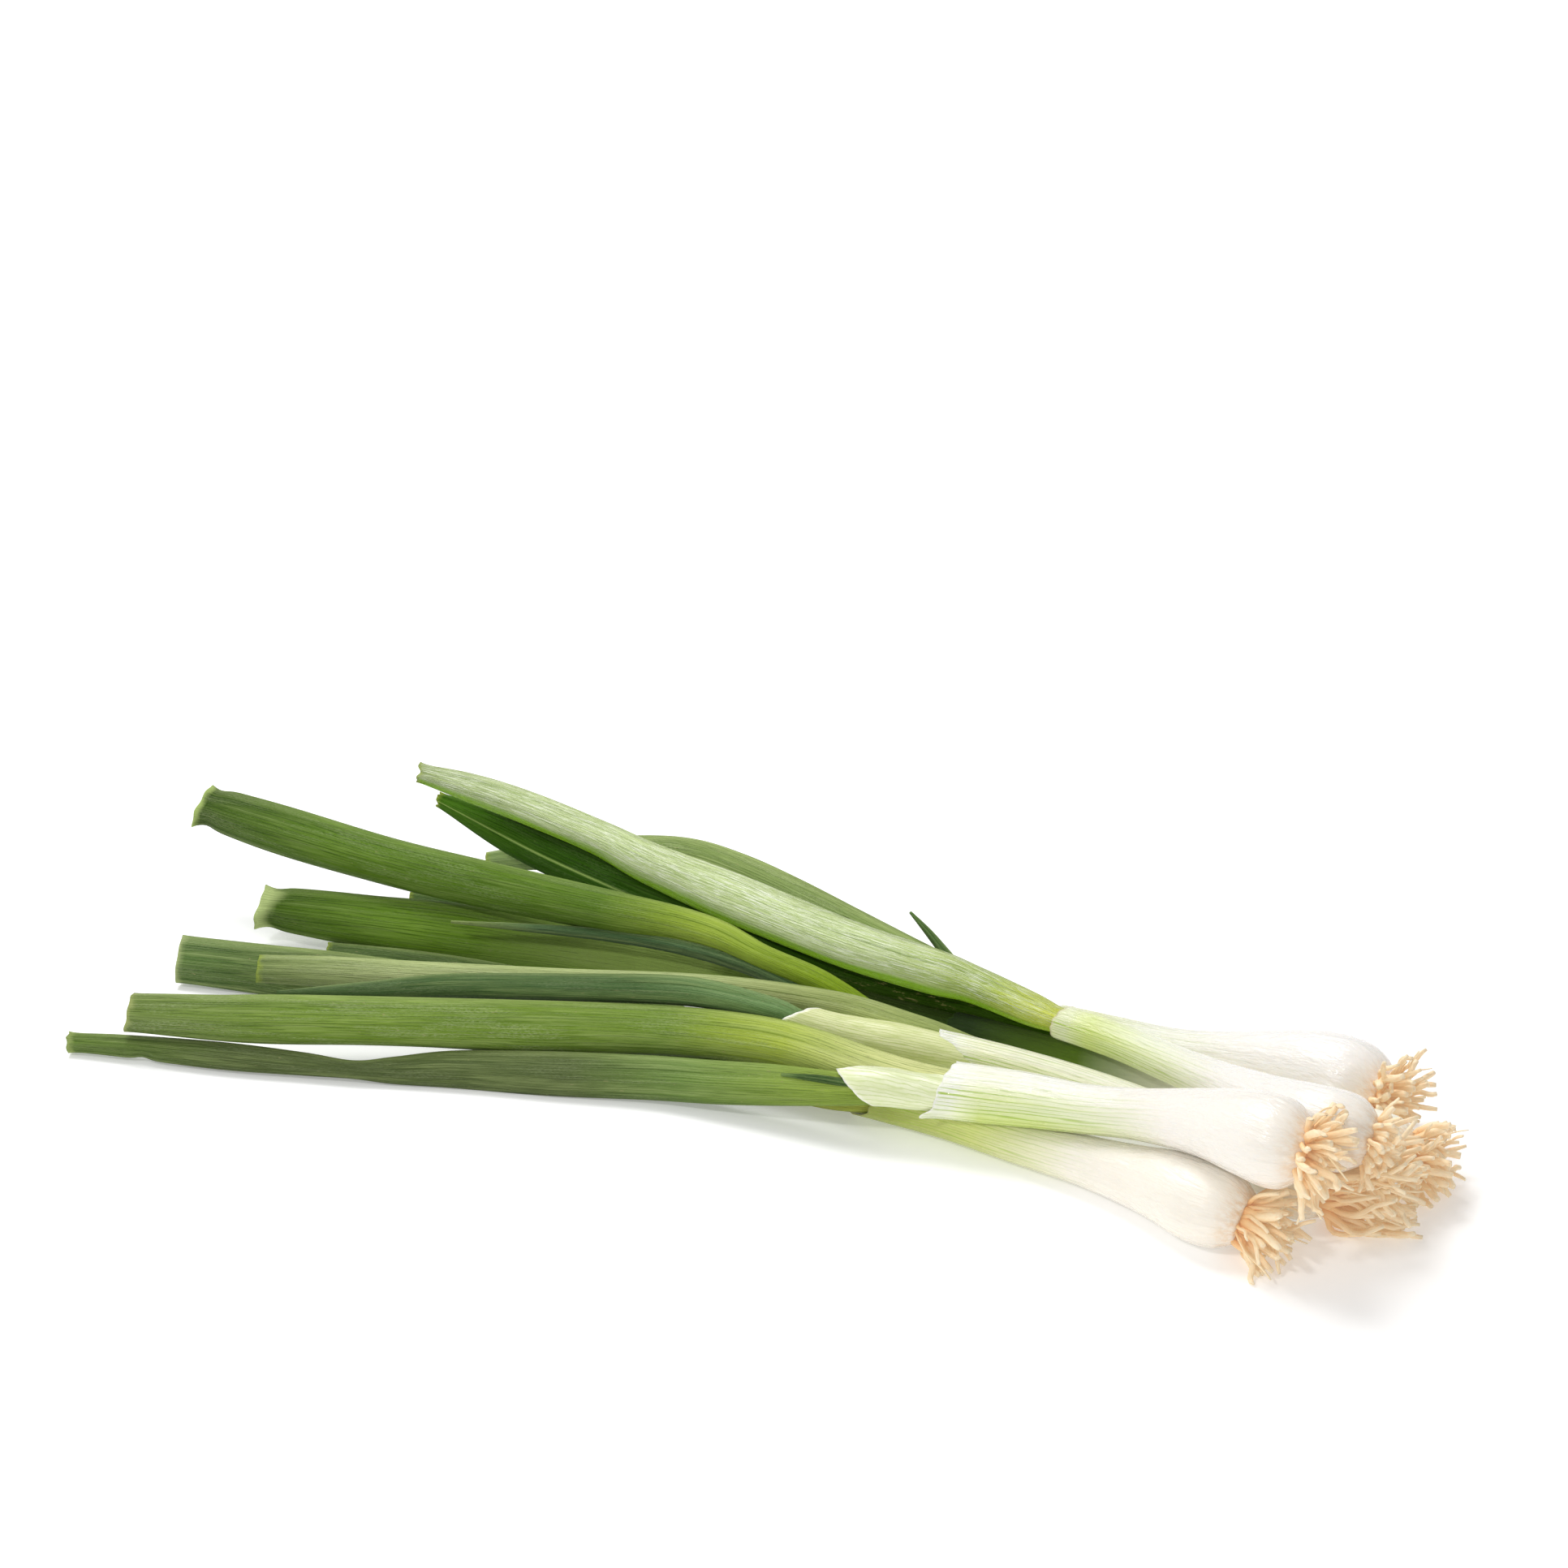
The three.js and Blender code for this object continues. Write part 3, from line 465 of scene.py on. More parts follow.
class Graph:
    """Short calls for one material's nodes."""

    def __init__(self, name):
        self.material = bpy.data.materials.new(name)
        self.material.use_nodes = True
        self.tree = self.material.node_tree
        self.shader = self.tree.nodes["Principled BSDF"]

    def node(self, kind, **values):
        made = self.tree.nodes.new(kind)
        for key, value in values.items():
            setattr(made, key, value)
        return made

    def feed(self, socket, value):
        """Gives a socket a number, a vector or another node's output."""
        if isinstance(value, bpy.types.NodeSocket):
            self.tree.links.new(value, socket)
        else:
            socket.default_value = value

    def math(self, operation, *values):
        made = self.node("ShaderNodeMath", operation=operation)
        for socket, value in zip(made.inputs, values):
            self.feed(socket, value)
        return made.outputs[0]

    def times(self, a, b):
        return self.math("MULTIPLY", a, b)

    def spread(self, value, low, high, to_low=0.0, to_high=1.0):
        """A value's range from low to high spread over another range, and held at its ends."""
        made = self.node("ShaderNodeMapRange")
        for key, number in zip(("Value", "From Min", "From Max", "To Min", "To Max"),
                               (value, low, high, to_low, to_high)):
            self.feed(made.inputs[key], number)
        return made.outputs["Result"]

    def set(self, **values):
        """Feeds the shader's own sockets, named with _ for a space."""
        for key, value in values.items():
            self.feed(self.shader.inputs[key.replace("_", " ")], value)


class SkinGraph(Graph):
    """The nodes of a grown skin: the places on it, and its colour as painted so far."""

    def __init__(self, name):
        super().__init__(name)
        self.around = self.attribute("around", "Vector")
        self.share = self.attribute("share")
        split = self.node("ShaderNodeSeparateXYZ")
        self.feed(split.inputs[0], self.around)
        self.across, self.up = split.outputs["X"], split.outputs["Y"]

    def attribute(self, name, output="Fac"):
        return self.node("ShaderNodeAttribute", attribute_name=name).outputs[output]

    def noise(self, scale, detail=3.0, rough=0.55):
        mapping = self.node("ShaderNodeMapping")
        self.feed(mapping.inputs["Scale"], scale)
        self.feed(mapping.inputs["Vector"], self.around)
        made = self.node("ShaderNodeTexNoise")
        for key, value in (("Scale", 1.0), ("Detail", detail), ("Roughness", rough),
                           ("Vector", mapping.outputs["Vector"])):
            self.feed(made.inputs[key], value)
        return made.outputs["Fac"]

    def line(self, value, middle, width):
        """1 where a value is at the middle, falling to 0 within the width."""
        away = self.math("ABSOLUTE", self.math("SUBTRACT", value, middle))
        return self.spread(away, 0.0, width, 1.0, 0.0)

    def stripes(self, count, sway, amount, low, high):
        """Thin lines along a strand, evenly spread round it and made to sway by a noise."""
        turn = self.math("ARCTAN2", self.up, self.across)
        swayed = self.math("MULTIPLY_ADD", turn, count, self.spread(sway, 0, 1, -amount, amount))
        return self.spread(self.math("SINE", swayed), low, high)

    def along(self, *stops):
        """Starts the colour, along the strand."""
        made = self.node("ShaderNodeValToRGB")
        elements = made.color_ramp.elements
        while len(elements) < len(stops):
            elements.new(0.5)
        for element, (place, colour) in zip(elements, stops):
            element.position = place
            element.color = linear(colour)
        self.feed(made.inputs["Fac"], self.share)
        self.colour = made.outputs["Color"]

    def paint(self, factor, colour, blend="MIX"):
        """Mixes a colour over the one painted so far."""
        made = self.node("ShaderNodeMix", data_type="RGBA", blend_type=blend)
        for socket, value in ((0, factor), (6, self.colour), (7, linear(colour))):
            self.feed(made.inputs[socket], value)
        self.colour = made.outputs[2]

    def bump(self, height, distance, strength, normal=None):
        made = self.node("ShaderNodeBump")
        for key, value in (("Distance", distance), ("Strength", strength), ("Height", height),
                           ("Normal", normal)):
            if value is not None:
                self.feed(made.inputs[key], value)
        return made.outputs["Normal"]

    def finish(self, rough, normal, subsurface=0.0, specular=FULL_GLOSS, depth=1.0):
        self.set(Base_Color=self.colour, Roughness=rough, Normal=normal, Subsurface_Weight=subsurface,
                 Subsurface_Radius=SCATTER, Subsurface_Scale=depth * MM, Specular_IOR_Level=specular)
        return self.material


class LeafGraph(SkinGraph):
    """A leaf's nodes, with the two noises and the growth that several of its colours read."""

    def __init__(self, name, turns):
        super().__init__(name)
        self.grain = self.noise((34, 34, 1.1), 4, 0.7)
        self.patch = self.noise((2.0, 2.0, 0.03), 4)
        self.grown = self.spread(self.share, turns[0] * 0.5, turns[1], 0.35, 1.0)

    def where(self, value, low, high, amount):
        """Up to an amount where a value goes from low to high, and less near the young base."""
        return self.times(self.spread(value, low, high, 0.0, amount), self.grown)


def paint_green(g, colours, turns, haze):
    """The leaf's colour along it, with painted shade toward its lower front side, a painted highlight on its
    upper edge, patches and veins. Returns the relief of the veins.
    """
    base, second, middle, tip = colours
    start, end = turns
    g.along((0.0, base), (start, base), (end, second), (end + 0.14, middle), (0.8, middle), (1.0, tip))
    broad = g.noise((2.6, 2.6, 0.012), 3)
    veins = g.noise((26, 26, 0.008), 2)
    fine = g.noise((64, 64, 0.02), 2)
    ribs = g.stripes(46, g.patch, 12.0, 0.1, 0.9)
    # painted shade: darker toward the leaf's lower front side
    g.paint(g.spread(g.across, 0.2, 0.95, 0.0, 0.45 * haze), "#8fa070", "MULTIPLY")
    # painted highlight: paler along the leaf's upper back edge
    g.paint(g.where(g.across, -0.55, -0.95, 0.3 * haze), "#c3d488")
    g.paint(g.where(broad, 0.45, 0.6, 0.4), "#a9bb80", "MULTIPLY")
    g.paint(g.where(g.patch, 0.48, 0.36, 0.2 * haze), "#c8d890", "SCREEN")
    g.paint(g.times(g.spread(veins, 0.46, 0.58, 0.15, 0.6), ribs), "#93a86c", "MULTIPLY")
    g.paint(g.where(fine, 0.52, 0.64, 0.35 * haze), "#bccb88")
    return g.bump(ribs, 0.0001, 0.5, g.bump(veins, 0.0006, 0.6))


def paint_light(g, start, colour):
    """A paler stretch on the upper side, from a share of the length on."""
    stretch = g.times(g.spread(g.share, start - 0.03, start),
                      g.spread(g.share, start + 0.15, start + 0.3, 1.0, 0.0))
    g.paint(g.times(g.spread(g.up, 0.35, 0.8, 0.0, 0.8), stretch), colour)


def paint_fold(g, strength):
    """A pale line along the leaf's outer part, where it is folded."""
    g.paint(g.times(g.line(g.across, 0.3, 0.08), g.spread(g.share, 0.55, 0.7, 0.0, strength)), "#a9c46c")


def paint_bloom_and_sheen(g, streak, haze):
    """Pale bloom streaks, partly a painted sheen, and worn flecks."""
    dust_and_sheen = g.times(g.spread(g.patch, 0.46, 0.6, 0.1, 1.0), g.spread(g.grain, 0.42, 0.62, 0.0, 0.65 * streak))
    g.paint(g.times(dust_and_sheen, g.grown), "#ccd6a8")
    g.paint(g.spread(g.noise((8, 8, 0.55), 1), 0.74, 0.77, 0.0, 0.6 * haze), "#a59c6c")


def paint_lit_underside(g, strength):
    """Painted light: a bright band on the lower front edge, with a wavy border."""
    border = g.math("MULTIPLY_ADD", g.patch, 0.7, g.across)
    g.paint(g.where(border, 0.95, 1.2, strength), "#8cbc14")


def paint_glints(g, strength):
    """Painted highlights: small glints on the broad face."""
    glint = g.spread(g.noise((26, 26, 0.16), 4, 0.65), 0.52, 0.58)
    g.paint(g.times(glint, g.where(g.across, 0.75, 0.5, strength)), "#f0f6de")


def paint_scars(g, strength):
    """Dry brownish scars near the base."""
    scars = g.spread(g.noise((4, 4, 0.22), 5, 0.75), 0.55, 0.62)
    place = g.times(g.spread(g.share, 0.1, 0.16, 0.0, strength), g.spread(g.share, 0.27, 0.31, 1.0, 0.0))
    g.paint(g.times(scars, place), "#98905c")


def leaf_material(name, colours, turns=(0.1, 0.3), streak=0.3, haze=1.0, rough=0.42, lip="#9aac48",
                  light=None, light_from=None, fold=0.0, under=0.0, glints=0.0, scars=0.0):
    """Green leaf: colour along it with painted shade and highlight, fine lengthwise veins, bloom partly
    painted as sheen, its own marks (some of them painted light) and a pale cut rim.
    """
    g = LeafGraph(name, turns)
    relief = paint_green(g, colours, turns, haze)
    if light:
        paint_light(g, light_from, light)
    if fold:
        paint_fold(g, fold)
    paint_bloom_and_sheen(g, streak, haze)
    # under paints a band of light on the lower front edge and glints paint highlights; scars are real marks
    for strength, paint_mark in ((under, paint_lit_underside), (glints, paint_glints), (scars, paint_scars)):
        if strength:
            paint_mark(g, strength)
    g.paint(g.attribute("rim"), lip)
    shine = g.spread(g.grain, 0.3, 0.7, rough - 0.1, rough + 0.16)
    normal = g.bump(g.grain, 0.00018, 0.5, relief)
    return g.finish(shine, normal, specular=FULL_GLOSS if glints else HAZY_GLOSS * haze)


def shank_material(name, colours, veins=1.0, low=0.0, paper=0.0, rim_colour=PALE_RIM, gloss=FULL_GLOSS):
    """White bulb and shank, glossy, greener with thin veins toward the papery torn collar."""
    g = SkinGraph(name)
    bulb, white, cream, collar = colours
    g.along((0.0, bulb), (0.12, white), (0.45, white), (0.72, cream), (0.95, collar))
    soft = g.noise((2.2, 2.2, 0.02), 3)
    uneven = g.noise((5, 5, 0.02), 2)
    wet = g.noise((6, 6, 0.16), 4, 0.6)
    lines = g.stripes(34, soft, 9.0, 0.45, 0.95)
    threads = g.stripes(71, soft, 14.0, 0.5, 1.0)
    near_collar = g.times(g.spread(g.share, 0.36, 0.75, 0.0, veins),
                          g.spread(g.across, -0.8, 0.1, 1.0 - low, 1.0))
    g.paint(g.times(g.spread(soft, 0.42, 0.66, 0.0, 0.4), near_collar), "#d2de78")
    g.paint(g.times(g.spread(g.across, -0.1, 0.9, 0.0, 0.75 * low), near_collar), "#bcd040")
    g.paint(g.spread(g.share, 0.9, 0.97, 0.0, paper), "#faf9ee")
    g.paint(g.times(threads, g.times(near_collar, g.spread(uneven, 0.6, 0.35, 0.05, 0.35))), "#c5d277")
    g.paint(g.times(lines, g.times(g.spread(uneven, 0.35, 0.6, 0.3, 0.9), near_collar)), "#9cba28")
    stain = g.spread(g.noise((5, 5, 0.5), 4, 0.7), 0.4, 0.65)
    g.paint(g.times(stain, g.spread(g.share, 0.0, 0.05, 0.8, 0.0)), "#deb47a")
    g.paint(g.attribute("rim"), rim_colour)
    shine = g.spread(wet, 0.35, 0.6, 0.6 - 1.1 * gloss, 0.8 - gloss)
    normal = g.bump(g.times(lines, near_collar), 0.00012, 0.4, g.bump(wet, 0.0014, 0.5))
    # painted light: the flesh glows faintly to lift its shade
    g.set(Emission_Color=(1.0, 0.96, 0.88, 1.0), Emission_Strength=FLESH_GLOW * gloss / FULL_GLOSS)
    return g.finish(shine, normal, subsurface=0.4, specular=gloss, depth=2.0)


def paper_material(name, colour, vein_colour):
    """Dry translucent skin with fine lengthwise fibres and a pale torn edge."""
    g = SkinGraph(name)
    g.colour = linear(colour)
    cloud = g.noise((3, 3, 0.12), 4)
    fibres = g.stripes(38, cloud, 6.0, 0.5, 0.95)
    g.paint(g.spread(cloud, 0.45, 0.65, 0.0, 0.4), vein_colour)
    g.paint(g.times(fibres, g.spread(cloud, 0.35, 0.65, 0.7, 0.2)), vein_colour)
    g.paint(g.attribute("rim"), PALE_RIM)
    normal = g.bump(cloud, 0.0004, 0.5, g.bump(fibres, 0.0001, 0.4))
    return g.finish(g.spread(cloud, 0.3, 0.7, 0.25, 0.5), normal, subsurface=0.2)


def root_material():
    """Pale tan roots, golden near the plate."""
    g = SkinGraph("root_skin")
    spots = g.noise((2, 2, 0.5), 4)
    g.along((0.0, "#d98f40"), (0.22, "#eec186"), (0.55, "#f3dab0"), (1.0, "#f6e4c2"))
    g.paint(g.spread(spots, 0.52, 0.7, 0.0, 0.5), "#e8b67c")
    # painted light: the roots glow faintly to lift the shade among them
    g.set(Emission_Color=(1.0, 0.8, 0.58, 1.0), Emission_Strength=ROOT_GLOW)
    return g.finish(g.spread(spots, 0, 1, 0.35, 0.6), g.bump(spots, 0.0004, 0.6), subsurface=0.3, depth=0.5)


def add_piece(piece, material, node=None):
    """Dresses a piece, lets it ride the bunch and, where a node is given, stand for that CAD node."""
    piece.data.materials.append(material)
    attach(piece, "root")
    if node:
        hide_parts(node)


# Leaves

LEAF_SIDES = 48
LEAF_STEPS = 200
YOUNG_SIDES = 20
YOUNG_STEPS = 60
LEAF_WALL = 0.8
HOLLOW_DEPTH = 6.0
CUT_REACH = 20.0  # a cut's slant and raggedness fade out over this length
LIP_REACH = 1.8  # how far back the lips spread
PINCH_REACH = 7.0  # how far back a cut end is pinched
NECK_PLACE, NECK_REACH = 5.0, 3.0  # how far behind the lips a neck lies, and its length
SPLIT_PLACE, SPLIT_WIDTH = math.radians(90), 0.45
SLIM = 0.985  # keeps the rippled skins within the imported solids' box
CUT_SEED, RIPPLE_SEED, CORNER_SEED, LIP_SEED = 20, 40, 60, 70


def dented(name, strand, angle, run):
    """How far the skin is sunk, as a share of its size, by the leaf's hollows and kinks."""
    sunk = np.zeros(run.shape)
    for x, degrees, depth, length in DENTS.get(name, []):
        turn = np.cos(angle - math.radians(degrees))
        away = run - strand.run[strand.step_at_x(x)]
        sunk += depth * np.exp(-((away / length) ** 2)) * smooth(turn, -0.2, 1.0)
    return sunk


def leaf_surface(name, seed, strand, shape, angle, run, inset):
    """Skin points of a leaf with its ripples, dents and worked end."""
    from_end = strand.length - run
    ripples = 0.02 * waves(angle, run, RIPPLE_SEED + seed, turns=3)
    ridges = 0.006 * np.cos(16 * angle + 0.02 * run)
    lip = shape["lips"] * np.exp(-np.maximum(from_end, 0) / LIP_REACH)
    uneven = waves(angle, 0.4 * run, CORNER_SEED + seed, turns=7, count=7)
    corners = 0.25 + 0.45 * np.cos(angle) ** 2 + 0.5 * uneven
    neck = shape["neck"] * np.exp(-(((from_end - NECK_PLACE) / NECK_REACH) ** 2))
    swell = SLIM + ripples + ridges + (lip * corners - neck) - dented(name, strand, angle, run)
    thin = 1 - shape["pinch"] * np.exp(-np.maximum(from_end, 0) / PINCH_REACH) + 0.5 * lip
    return strand.skin(run, angle, swell, inset, thin, shape["edge"])


def cut_end(seed, shape, angle):
    """How far short of the strand's end the leaf is cut, round its section."""
    notch = shape["split"] * np.exp(-((np.sin(angle - SPLIT_PLACE) / SPLIT_WIDTH) ** 2))
    rag = shape["rag"] * (0.5 + 0.35 * waves(angle, 0 * angle, CUT_SEED + seed, turns=7))
    slant = abs(shape["slant"]) * (1 + np.sign(shape["slant"]) * np.cos(angle)) / 2
    return np.maximum(rag, 0) + slant + notch


def make_leaf(name, seed):
    """A leaf with a worked skin and a hollow cut end."""
    strand = Strand(LEAVES[name], LEAF_STEPS)
    shape = {**PLAIN_SHAPE, **LEAF_SHAPES[name]}
    run, angle = strand.grid(LEAF_SIDES)
    lip = shape["lip"] * (1 + 0.3 * waves(angle, 0 * run, LIP_SEED + seed, turns=8))
    run = run - cut_end(seed, shape, angle) * smooth(run, strand.length - CUT_REACH, strand.length)
    rim = np.clip(1.5 * (1 - (run[-1] - run) / lip), 0, 1)
    wall = LEAF_WALL * np.clip(HOLLOW_ROWS * 8, 0.4, 1)
    skin = partial(leaf_surface, name, seed, strand, shape)
    piece = hollow_piece(name, strand.length, angle, run, skin, HOLLOW_DEPTH, (0.0, wall), rim)
    add_piece(piece, leaf_material(name + "_green", **LEAF_LOOKS[name]), name)


def make_young_leaf(name):
    """A thin young leaf that ends in a tip."""
    strand = Strand(LEAVES[name], YOUNG_STEPS)
    run, angle = strand.grid(YOUNG_SIDES)
    rings = strand.skin(run, angle, SLIM + 0 * run, edge=0.3)
    piece = tube_piece(name + "_skin", rings, run, angle, strand.length, 0 * run)
    add_piece(piece, leaf_material(name + "_green", **LEAF_LOOKS[name]), name)


# Shanks with their bulbs

SHANK_SIDES = 96
SHANK_STEPS = 180
MOUTH_DEPTH = 5.0
COLLAR_LENGTH = 12.0
COLLAR_WALL = 0.3
COLLAR_EDGE = 0.7  # width of the dried edge
LIFT_REACH = 5.0  # how far back the collar stands off
TUCK = 0.12  # how fast the collar closes past the strand's end
SHANK_SEED, TORN_SEED, LIFT_SEED = 80, 99, 9
SHANK_STRANDS = {name: Strand(stations, SHANK_STEPS) for name, stations in SHANKS.items()}


def shank_surface(name, angle, run, inset):
    """Skin points of a shank, with soft ribs and ripples."""
    strand = SHANK_STRANDS[name]
    seed = SHANK_SEED + list(SHANKS).index(name)
    ripples = 0.012 * waves(angle, run, seed, turns=3, stretch=40)
    ribs = 0.005 * np.cos(18 * angle + 0.03 * run) * smooth(run / strand.length, 0.1, 0.6)
    return strand.skin(run, angle, SLIM + ripples + ribs, inset)


def make_shank(name):
    """A shank with its bulb, and the torn collar with its hollow mouth."""
    strand = SHANK_STRANDS[name]
    facts = {**PLAIN_COLLAR, **COLLARS[name]}
    run, angle = strand.grid(SHANK_SIDES)
    turn = angle[0]
    tip = facts["tip"] * np.exp(-((turned_away(turn, facts["angle"]) / facts["breadth"]) ** 2))
    torn = 0.35 * waves(turn, 0 * turn, TORN_SEED, turns=12, count=9)
    past_end = facts["slant"] * np.cos(turn) + torn + tip
    run = run + past_end * smooth(run, strand.length - COLLAR_LENGTH, strand.length)
    from_edge = run[-1] - run
    flutter = 0.12 * waves(angle, run, LIFT_SEED, turns=6)
    lift = np.clip(1 - from_edge / LIFT_REACH, 0, 1) ** 2 * (facts["flare"] + facts["lift"] * tip + flutter)
    tuck = TUCK * np.maximum(run - strand.length, 0) * (tip < 0.4)
    sunk = tuck - lift
    wall = sunk[-1] * (1 - HOLLOW_ROWS) + COLLAR_WALL * np.clip(HOLLOW_ROWS * 8, 0.6, 1.6)
    rim = np.clip(1 - from_edge / COLLAR_EDGE, 0, 1)
    skin = partial(shank_surface, name)
    piece = hollow_piece(name, strand.length, angle, run, skin, MOUTH_DEPTH, (sunk, wall), rim)
    add_piece(piece, shank_material(name + "_flesh", **SHANK_LOOKS[name]), name)


# Sheaths that wrap the bases of the leaves at two collars, on strands with stations like the leaves'

SHEATH_B_LOWER = [
    [62, -26.6, 15.6, 10.6, 8.6], [56, -27, 15.6, 10.4, 8.4], [48, -28, 15.2, 9.6, 7.8],
    [40, -29.3, 14.8, 8.8, 7.2], [33, -30.4, 13.8, 8.6, 7], [20, -30.2, 11.4, 9.4, 7.4],
]
SHEATH_E = [
    [62, -4.6, 12.6, 7.8, 7], [50, -4.9, 13.2, 9, 7.8], [38, -6, 14.2, 9.8, 7.8], [28, -7.2, 15, 9.2, 7.2],
    [19, -8.3, 16.4, 8, 6.6], [7, -9.2, 18.8, 7.4, 6.4],
]
SHEATH_ROWS = 40
SHEATH_COLUMNS = 90
SHEATH_SECTIONS = 60
SHEATH_THICKNESS = 0.3
SHEATH_EDGE = 0.8  # width of the dried edge
SHEATH_SEED = 7
HULL_DIRECTIONS = 360


def hull_ring(sections):
    """Points round the tight outline of several ovals: each a centre, two axes and their half sizes."""
    centre, broad, narrow = sections[0][:3]
    outline = []
    for direction in np.linspace(0, 2 * math.pi, HULL_DIRECTIONS, endpoint=False):
        heading = broad * math.cos(direction) + narrow * math.sin(direction)
        touches = []
        for middle, wide, thin, half_wide, half_thin in sections:
            a, b = half_wide * (wide @ heading), half_thin * (thin @ heading)
            size = math.hypot(a, b)
            point = middle + (wide * half_wide * a + thin * half_thin * b) / size
            touches.append(((middle - centre) @ heading + size, point))
        outline.append(max(touches, key=lambda touch: touch[0])[1])
    closed = np.array(outline + outline[:1])
    steps = np.concatenate([[0], np.cumsum(np.linalg.norm(np.diff(closed, axis=0), axis=1))])
    spots = np.linspace(0, steps[-1], SHEATH_COLUMNS, endpoint=False)
    return np.stack([np.interp(spots, steps, closed[:, k]) for k in range(3)], -1)


def section_at(strand, x):
    """The oval of a strand where it passes an x of the layout."""
    k = strand.step_at_x(x)
    return strand.centre[k], strand.broad[k], strand.narrow[k], strand.width[k] / 2, strand.thickness[k] / 2


def wrapped(strands, xs, x_grid):
    """Points of the outline of some strands, and of its middle, at a grid of places on the layout's x."""
    stack = np.array([hull_ring([section_at(strand, x) for strand in strands]) for x in xs])
    middles = stack.mean(1)
    surface = np.empty((*x_grid.shape, 3))
    centre = np.empty_like(surface)
    for j in range(x_grid.shape[1]):
        for k in range(3):
            surface[:, j, k] = np.interp(x_grid[:, j], xs[::-1], stack[::-1, j, k])
            centre[:, j, k] = np.interp(x_grid[:, j], xs[::-1], middles[::-1, k])
    return surface, centre


def make_wrap(name, strands, x_from, x_tip, tip_at, recede, lift, colours):
    """A thin sheath round leaf bases; its torn edge runs back on both sides of a tip."""
    turn = np.linspace(0, 2 * math.pi, SHEATH_COLUMNS, endpoint=False)
    away = np.degrees(turned_away(turn, tip_at))
    torn = 0.25 * waves(turn, 0 * turn, SHEATH_SEED, turns=14, count=9)
    x_edge = x_tip + recede(away) + torn
    share = np.linspace(0, 1, SHEATH_ROWS)[:, None]
    x_grid = x_from + (x_edge - x_from) * share
    surface, centre = wrapped(strands, np.linspace(x_from, x_tip - 1, SHEATH_SECTIONS), x_grid)
    outward = unit(surface - centre)
    outer = surface + outward * (lift(away) + 0.3 * share**3 * (lift(away) > 0))[..., None]
    inner = outer - outward * SHEATH_THICKNESS
    run = x_from - x_grid
    rim = np.clip(1 - (x_grid - x_edge) / SHEATH_EDGE, 0, 1)
    angle = np.broadcast_to(turn, run.shape)
    rings = np.concatenate([outer, inner[::-1]])
    faces = side_faces(2 * SHEATH_ROWS, SHEATH_COLUMNS)
    last, following = len(faces), np.roll(np.arange(SHEATH_COLUMNS), -1).tolist()
    faces += [(last + j, last + after, after, j) for j, after in enumerate(following)]
    around = around_facts(np.vstack([angle, angle]), np.vstack([run, run[::-1]])).reshape(-1, 3)
    piece = mesh_piece(name, rings, faces, around, around[:, 2] / (x_from - x_tip),
                       np.vstack([rim, rim[::-1]]))
    add_piece(piece, paper_material(name + "_skin", *colours))


def make_sheaths():
    make_wrap(
        "sheath_b", [Strand(LEAVES["leaf_b_upper"], LEAF_STEPS), Strand(SHEATH_B_LOWER, LEAF_STEPS)],
        59, 30.5, 80,
        recede=lambda away: 9 * np.clip(-away / 80, 0, 1.5) + 14 * np.clip(away / 40, 0, 1),
        lift=lambda away: 0.3 - 1.0 * smooth(away, 5, 45) * (1 - smooth(away, 150, 180)),
        colours=("#e6ebc4", "#b8ca68"),
    )
    make_wrap(
        "sheath_e", [Strand(SHEATH_E, LEAF_STEPS)], 60, 8, 50,
        recede=lambda away: 8 * np.clip(away / 110, 0, 1.5) + 3 * np.clip(-away / 90, 0, 1.5),
        lift=lambda away: 0.1 + 0 * away,
        colours=("#e4e8b0", "#a6b944"),
    )


# Roots

ROOT_SIDES = 8
ROOT_STEPS = 12
ROOT_WIDTH = 1.9
ROOT_TAPER = np.array([1.35, 1.15, 1.0, 0.97, 0.95, 0.95, 0.72])  # widths from the plate to the tip
ROOTS_PER_HAIR = 5
HAIR_WIDTH = 0.55
PLATE_WIDTH = 11.0
PLATE_SINK = 0.8  # how deep the roots start inside the plate
ROOT_SEED, LUMP_SEED = 500, 900


def keep_clear(points, name, reach):
    """Moves root points off the surface and off the other bulbs."""
    for other, strand in SHANK_STRANDS.items():
        if other == name:
            continue
        for k in range(0, SHANK_STEPS // 2, 5):
            away = points - strand.centre[k]
            far = np.linalg.norm(away, axis=1)
            free = far - strand.width[k] / 2 - reach
            points = points - (np.minimum(free, 0) / np.maximum(far, 1e-6))[:, None] * away
    points[:, 2] = np.maximum(points[:, 2], reach)
    return points


def root_stations(name, share, angle, random, hair, length, spread, sweep, wild=1.0, front=1.0):
    """One cut root, from inside the plate to its tip."""
    bulb = SHANK_STRANDS[name]
    out = -bulb.along[0]
    radial = bulb.broad[0] * math.cos(angle) + bulb.narrow[0] * math.sin(angle)
    splay = math.radians(spread) * (0.85 * share + 0.3 * random.random())
    heading = unit(out * math.cos(splay) + radial * math.sin(splay) + np.array(sweep))
    long = length * random.uniform(0.55, 1.15)
    bend = unit(random.normal(size=3)) * random.uniform(0.05, 0.2) * long * wild
    curl = unit(random.normal(size=3)) * random.uniform(0.02, 0.09) * long * wild
    width = HAIR_WIDTH if hair else ROOT_WIDTH * random.uniform(0.6, 1.2)
    start = bulb.centre[0] - out * PLATE_SINK + radial * (PLATE_WIDTH - ROOT_WIDTH) / 2 * math.sqrt(share)
    t = np.linspace(0, 1, len(ROOT_TAPER))[:, None]
    line = start + heading * long * t + bend * np.sin(math.pi * t) + curl * np.sin(2.6 * math.pi * t)
    to_front = np.minimum(line[:, 1] - start[1], 0)
    line[:, 1] -= (1 - front ** (1 + 0.6 * math.sin(5 * angle))) * to_front
    line[1:] = keep_clear(line[1:], name, width / 2)
    size = width * ROOT_TAPER
    return np.column_stack([line, size, size * random.uniform(0.5, 1.0)])


